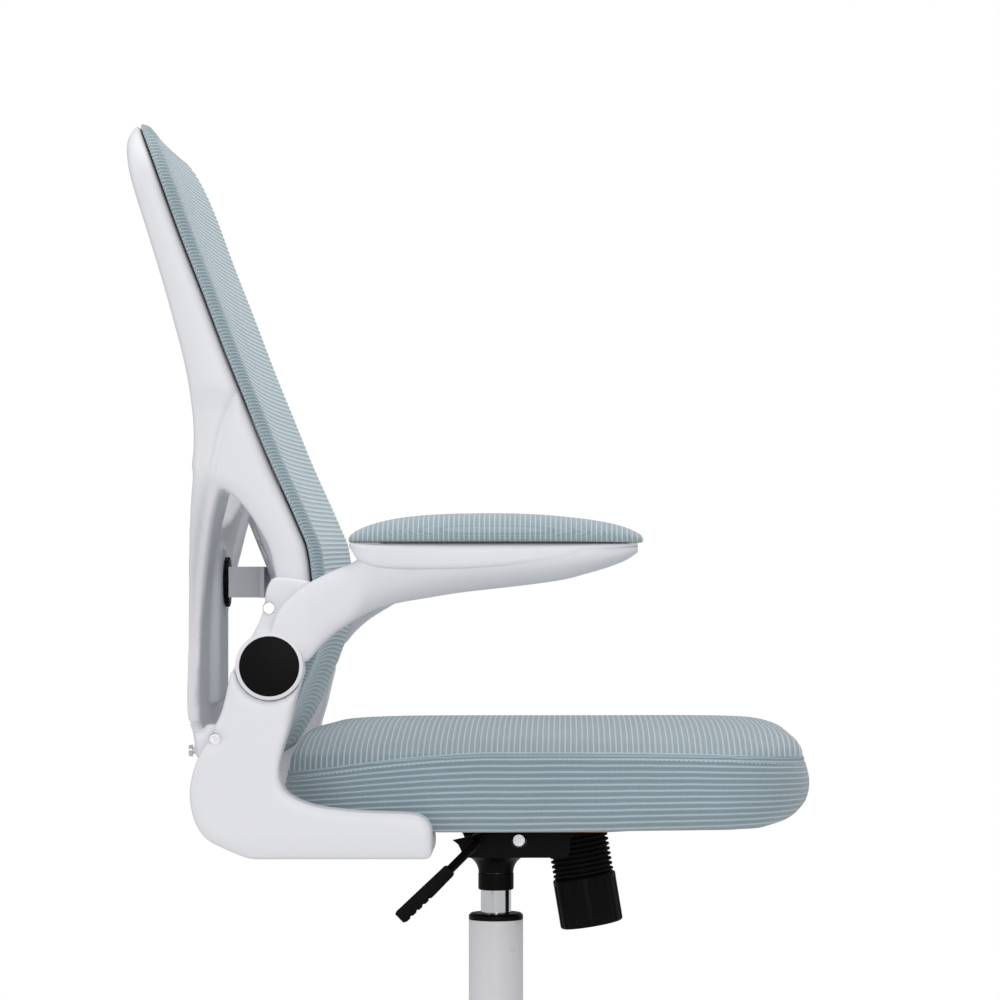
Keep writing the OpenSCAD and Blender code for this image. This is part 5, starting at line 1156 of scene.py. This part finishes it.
def hub_form():
    """Round hub with the cap's seat turned into it: the profile of radius and width round the pivot."""
    a, (r, y) = circle(96), HUB_PROFILE.T[:, :, None]
    return np.dstack([PIVOT[0] + r * np.cos(a), ARM_Y - HUB_INNER + y + 0 * a, PIVOT[2] + r * np.sin(a)])


def build_arms(s):
    """Arm shells with their tray and round hub."""
    white = material_of("white_plastic")
    for side, label in SIDES:
        arm = shell("arm_shell_" + label, mirrored(arm_form(), side), white)
        tray = shell("arm_tray_" + label, mirrored(tray_form(), side), white)
        hub = shell("arm_hub_" + label, mirrored(hub_form(), side), white, True, HUB_SHARP)
        dress(arm, ARM_BODY[label], "white_plastic", "arm_" + label)
        dress(tray, ARM_BODY[label], "white_plastic")
        dress(hub, ARM_BODY[label], "white_plastic")


MOULDED = {"base_star": 0.0016, "lumbar_arm": 0.0015, "lumbar_pad": 0.0008, "lumbar_disc": 0.0005,
           "lever_handle": 0.0016, "tension_knob": 0.0006, "tilt_housing": 0.0007, "seat_plate": 0.0006,
           "outer_tube": 0.0004, "cylinder_collar": 0.0005, "guide_bush": 0.0004, "lever_sleeve": 0.0006,
           "pivot_cap_right": 0.0003, "pivot_cap_left": 0.0003}
CASTER_MOULDED = {"caster_hood": 0.0009, "caster_wheels": 0.0008}


def build_mouldings(s):
    """Copies of the moulded and pressed nodes with rounded edges."""
    for node, width in MOULDED.items():
        softened(node, width * s.edge_round)


def build_casters(s):
    """Hoods and wheels with rounded edges."""
    for k in range(1, 6):
        for kind, width in CASTER_MOULDED.items():
            softened(f"{kind}_{k}", width * s.edge_round)


TILT_RISE = 0.0112


def finish_nodes(s):
    """Procedural finish on every CAD node that stays. The spring and its boot get meshes of their own."""
    for node, obj in frame["nodes"].items():
        paint(obj, SLOT_OF[node])
    for node in ("tension_spring", "spring_boot"):
        obj = frame["nodes"][node]
        co = vertices_of(obj)
        low, top = co[:, 2].min(), co[:, 2].max()
        float(1 - TILT_RISE / (top - low))
        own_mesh(obj)


# ---------------------------------------------------------------- stage
FLOOR_RINGS, FLOOR_SIDES, FLOOR_Z = (0.02, 0.6, 1.2, 1.75), 72, -0.0004
FLOOR_FADE, FLOOR_TONE = (0.6, 1.65), 0.86


def build_floor():
    """Pale disc that fades out toward its rim."""
    a, r = circle(FLOOR_SIDES), np.array(FLOOR_RINGS)[:, None]
    disc = np.dstack([r * np.cos(a), r * np.sin(a), np.full((len(r), FLOOR_SIDES), FLOOR_Z)])
    middle = close_ends(np.zeros((0, 4), int), 1, FLOOR_SIDES)[:FLOOR_SIDES // 2 - 1]
    parts = (mesh_piece("floor", disc.reshape(-1, 3), grid_faces(*disc.shape[:2])),
             mesh_piece("floor_middle", disc[0], middle))
    material, tree, shader = finish("floor_pale", specular=0.2, roughness=0.7)
    shader.inputs["Base Color"].default_value = (FLOOR_TONE, FLOOR_TONE, FLOOR_TONE, 1)
    coords, length = tree.nodes.new("ShaderNodeTexCoord"), tree.nodes.new("ShaderNodeVectorMath")
    length.operation = "LENGTH"
    fade = tree.nodes.new("ShaderNodeMapRange")
    fade.interpolation_type = "SMOOTHSTEP"
    for key, value in zip(("From Min", "From Max", "To Min", "To Max"), (*FLOOR_FADE, 1.0, 0.0)):
        fade.inputs[key].default_value = value
    wire(tree, (coords.outputs["Object"], length.inputs[0]), (length.outputs["Value"], fade.inputs["Value"]),
         (fade.outputs["Result"], shader.inputs["Alpha"]))
    for part in parts:
        part.data.materials.append(material)


def build_surroundings(strength):
    """Soft light from all round, and plain white where the camera sees past the chair."""
    world = bpy.data.worlds.new("studio")
    bpy.context.scene.world = world
    world.use_nodes = True
    tree = world.node_tree
    tree.nodes.clear()
    out, choose = tree.nodes.new("ShaderNodeOutputWorld"), tree.nodes.new("ShaderNodeMixShader")
    for slot, colour, power in ((1, (0.97, 0.98, 1.0, 1), strength), (2, (1, 1, 1, 1), 1.0)):
        light = tree.nodes.new("ShaderNodeBackground")
        light.inputs["Color"].default_value, light.inputs["Strength"].default_value = colour, power
        wire(tree, (light.outputs[0], choose.inputs[slot]))
    ray = tree.nodes.new("ShaderNodeLightPath").outputs
    seen = Signal(ray["Is Camera Ray"]).maths("MAXIMUM", Signal(ray["Is Transmission Ray"]))
    wire(tree, (seen, choose.inputs[0]), (choose.outputs[0], out.inputs["Surface"]))


def lamp(name, place, height, size, power):
    """Round soft lamp that faces a height on the chair's axis."""
    light = bpy.data.lights.new(name, "AREA")
    light.shape, light.size, light.energy = "DISK", size, power
    obj = linked(name, light)
    obj.location = place
    obj.rotation_euler = (Vector((0, 0, height)) - Vector(place)).to_track_quat("-Z", "Y").to_euler()


def build_stage(s):
    """Floor, lamps, surroundings and the camera at the photograph's angle."""
    build_floor()
    build_surroundings(s.fill_light)
    lamp("key_lamp", (0.25, -3.9, 1.15), 0.6, 1.5, s.key_light)
    lamp("side_lamp", (-2.3, -1.9, 1.3), 0.6, 1.8, s.side_light)
    lamp("top_lamp", (0.15, -0.3, 3.1), 0.4, 2.2, s.top_light)
    lamp("far_lamp", (1.6, 2.6, 1.9), 0.6, 1.8, s.side_light * 0.6)
    data = bpy.data.cameras.new("camera")
    data.sensor_width, data.lens = 36.0, s.camera_lens
    data.shift_x, data.shift_y = s.camera_shift
    camera = linked("camera", data)
    camera.location = s.camera_place
    camera.rotation_euler = (math.pi / 2, 0, 0)
    bpy.context.scene.camera = camera
    bpy.context.scene.view_settings.view_transform = "Standard"


# ---------------------------------------------------------------- the add-on's panel
def colour(name, description, *default):
    """Colour of the panel."""
    return FloatVectorProperty(name=name, description=description, subtype="COLOR", size=3, default=default)


def pitch(name, description, default, low=0.003, high=0.008):
    """Spacing of ribs or stitches."""
    return FloatProperty(name=name, description=description, default=default, min=low, max=high,
                         unit="LENGTH")


def power(name, description, default):
    """Power of a lamp."""
    return FloatProperty(name=name, description=description, default=default, min=0, unit="POWER")


class ChairFinish(bpy.types.PropertyGroup):
    """Colours and ribs of the chair's finishes."""
    shell_colour: colour("Shell", "Moulded white shells", 0.70, 0.70, 0.725)
    black_colour: colour("Black parts", "Plastic, rubber and painted steel of the mechanism",
                         0.0045, 0.0045, 0.005)
    seat_rib: colour("Seat rib", "Raised cords of the seat's cloth", 0.42, 0.53, 0.585)
    seat_valley: colour("Seat valley", "Ground between the seat's cords", 0.235, 0.305, 0.34)
    pad_rib: colour("Armrest rib", "Raised cords of the armrest's cloth", 0.47, 0.575, 0.62)
    pad_valley: colour("Armrest valley", "Ground between the armrest's cords", 0.285, 0.365, 0.40)
    mesh_rib: colour("Back rib", "Raised cords of the back's mesh", 0.59, 0.69, 0.73)
    mesh_valley: colour("Back valley", "Ground between the back's cords", 0.38, 0.51, 0.565)
    edge_rib: colour("Edge rib", "Raised cords of the back's sewn edge", 0.40, 0.50, 0.54)
    edge_valley: colour("Edge valley", "Ground between the edge's cords", 0.25, 0.33, 0.365)
    seat_pitch: pitch("Seat rib pitch", "From one cord to the next on the seat", 0.0049)
    pad_pitch: pitch("Armrest rib pitch", "From one cord to the next on the armrests", 0.0043)
    mesh_pitch: pitch("Back rib pitch", "From one cord to the next on the back", 0.0043)
    stitch_pitch: pitch("Stitch pitch", "From one stitch to the next", 0.0042, 0.002, 0.01)
    edge_round: FloatProperty(name="Edge rounding", default=1.0, min=0.2, max=1.5,
                              description="Scales the rounded edges of the moulded parts")


class ChairStage(bpy.types.PropertyGroup):
    """Camera and lamps."""
    key_light: power("Key lamp", "Power of the lamp in front", 38.0)
    side_light: power("Side lamps", "Power of the lamps at the sides", 14.0)
    top_light: power("Top lamp", "Power of the lamp overhead", 30.0)
    fill_light: FloatProperty(name="Surroundings", description="Strength of the light from all round",
                              default=0.58, min=0)
    camera_lens: FloatProperty(name="Lens", description="Focal length in millimetres on a 36 mm sensor",
                               default=144.8)
    camera_place: FloatVectorProperty(name="Camera", description="Where the camera stands", size=3,
                                      subtype="TRANSLATION", unit="LENGTH", default=(0.0635, -3.7, 0.631))
    camera_shift: FloatVectorProperty(name="Shift", description="Sideways and upward shift of the frame",
                                      size=2, default=(-0.065, 0.045))


def built(build, settings):
    """Runs one builder on its settings for an operator."""
    build(settings)
    return {"FINISHED"}


class CHAIR_OT_Nodes(bpy.types.Operator):
    """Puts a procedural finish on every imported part"""
    bl_idname = "chair.node_finishes"
    bl_label = "Finishes"

    def execute(self, context):
        return built(finish_nodes, context.scene.chair_finish)


class CHAIR_OT_Seat(bpy.types.Operator):
    """Builds the padded seat with its piping and stitches"""
    bl_idname = "chair.padded_seat"
    bl_label = "Padded seat"

    def execute(self, context):
        return built(build_seat, context.scene.chair_finish)


class CHAIR_OT_Armrests(bpy.types.Operator):
    """Builds the two padded armrests"""
    bl_idname = "chair.padded_armrests"
    bl_label = "Padded armrests"

    def execute(self, context):
        return built(build_pads, context.scene.chair_finish)


class CHAIR_OT_BackMesh(bpy.types.Operator):
    """Builds the ribbed mesh stretched over the back"""
    bl_idname = "chair.back_mesh"
    bl_label = "Back mesh"

    def execute(self, context):
        return built(build_back_mesh, context.scene.chair_finish)


class CHAIR_OT_BackEdge(bpy.types.Operator):
    """Builds the sewn edge of the mesh and its stitches"""
    bl_idname = "chair.back_edge"
    bl_label = "Back edge"

    def execute(self, context):
        return built(build_back_edge, context.scene.chair_finish)


class CHAIR_OT_BackFrame(bpy.types.Operator):
    """Builds the back's frame and spine as one moulding"""
    bl_idname = "chair.back_frame"
    bl_label = "Back frame"

    def execute(self, context):
        return built(build_back_moulding, context.scene.chair_finish)


class CHAIR_OT_Brackets(bpy.types.Operator):
    """Builds the arm brackets"""
    bl_idname = "chair.brackets"
    bl_label = "Arm brackets"

    def execute(self, context):
        return built(build_brackets, context.scene.chair_finish)


class CHAIR_OT_Arms(bpy.types.Operator):
    """Builds the moulded arms and their hubs"""
    bl_idname = "chair.arm_shells"
    bl_label = "Arm shells"

    def execute(self, context):
        return built(build_arms, context.scene.chair_finish)


class CHAIR_OT_Mouldings(bpy.types.Operator):
    """Rounds the edges of the base, mechanism and lumbar support"""
    bl_idname = "chair.mouldings"
    bl_label = "Mouldings"

    def execute(self, context):
        return built(build_mouldings, context.scene.chair_finish)


class CHAIR_OT_Casters(bpy.types.Operator):
    """Rounds the edges of the casters' hoods and wheels"""
    bl_idname = "chair.casters"
    bl_label = "Casters"

    def execute(self, context):
        return built(build_casters, context.scene.chair_finish)


class CHAIR_OT_Stage(bpy.types.Operator):
    """Builds the floor, the lamps, the surroundings and the camera"""
    bl_idname = "chair.stage"
    bl_label = "Stage"

    def execute(self, context):
        return built(build_stage, context.scene.chair_stage)


OPERATORS = (CHAIR_OT_Nodes, CHAIR_OT_Seat, CHAIR_OT_Armrests, CHAIR_OT_BackMesh, CHAIR_OT_BackEdge,
             CHAIR_OT_BackFrame, CHAIR_OT_Brackets, CHAIR_OT_Arms, CHAIR_OT_Mouldings, CHAIR_OT_Casters,
             CHAIR_OT_Stage)


class CHAIR_PT_Panel(bpy.types.Panel):
    """Lists the chair's builders and their settings"""
    bl_label = "Office chair"
    bl_idname = "CHAIR_PT_panel"
    bl_space_type = "VIEW_3D"
    bl_region_type = "UI"
    bl_category = "Chair"

    def draw(self, context):
        for kind in OPERATORS:
            self.layout.operator(kind.bl_idname)
        for settings in (context.scene.chair_finish, context.scene.chair_stage):
            for key in type(settings).__annotations__:
                self.layout.prop(settings, key)


CLASSES = (ChairFinish, ChairStage, *OPERATORS, CHAIR_PT_Panel)


def register():
    for kind in CLASSES:
        bpy.utils.register_class(kind)
    bpy.types.Scene.chair_finish = PointerProperty(type=ChairFinish)
    bpy.types.Scene.chair_stage = PointerProperty(type=ChairStage)


def unregister():
    del bpy.types.Scene.chair_stage
    del bpy.types.Scene.chair_finish
    for kind in reversed(CLASSES):
        bpy.utils.unregister_class(kind)


def main():
    register()
    for kind in OPERATORS:
        family, name = kind.bl_idname.split(".")
        getattr(getattr(bpy.ops, family), name)()


if __name__ == "__main__":
    main()
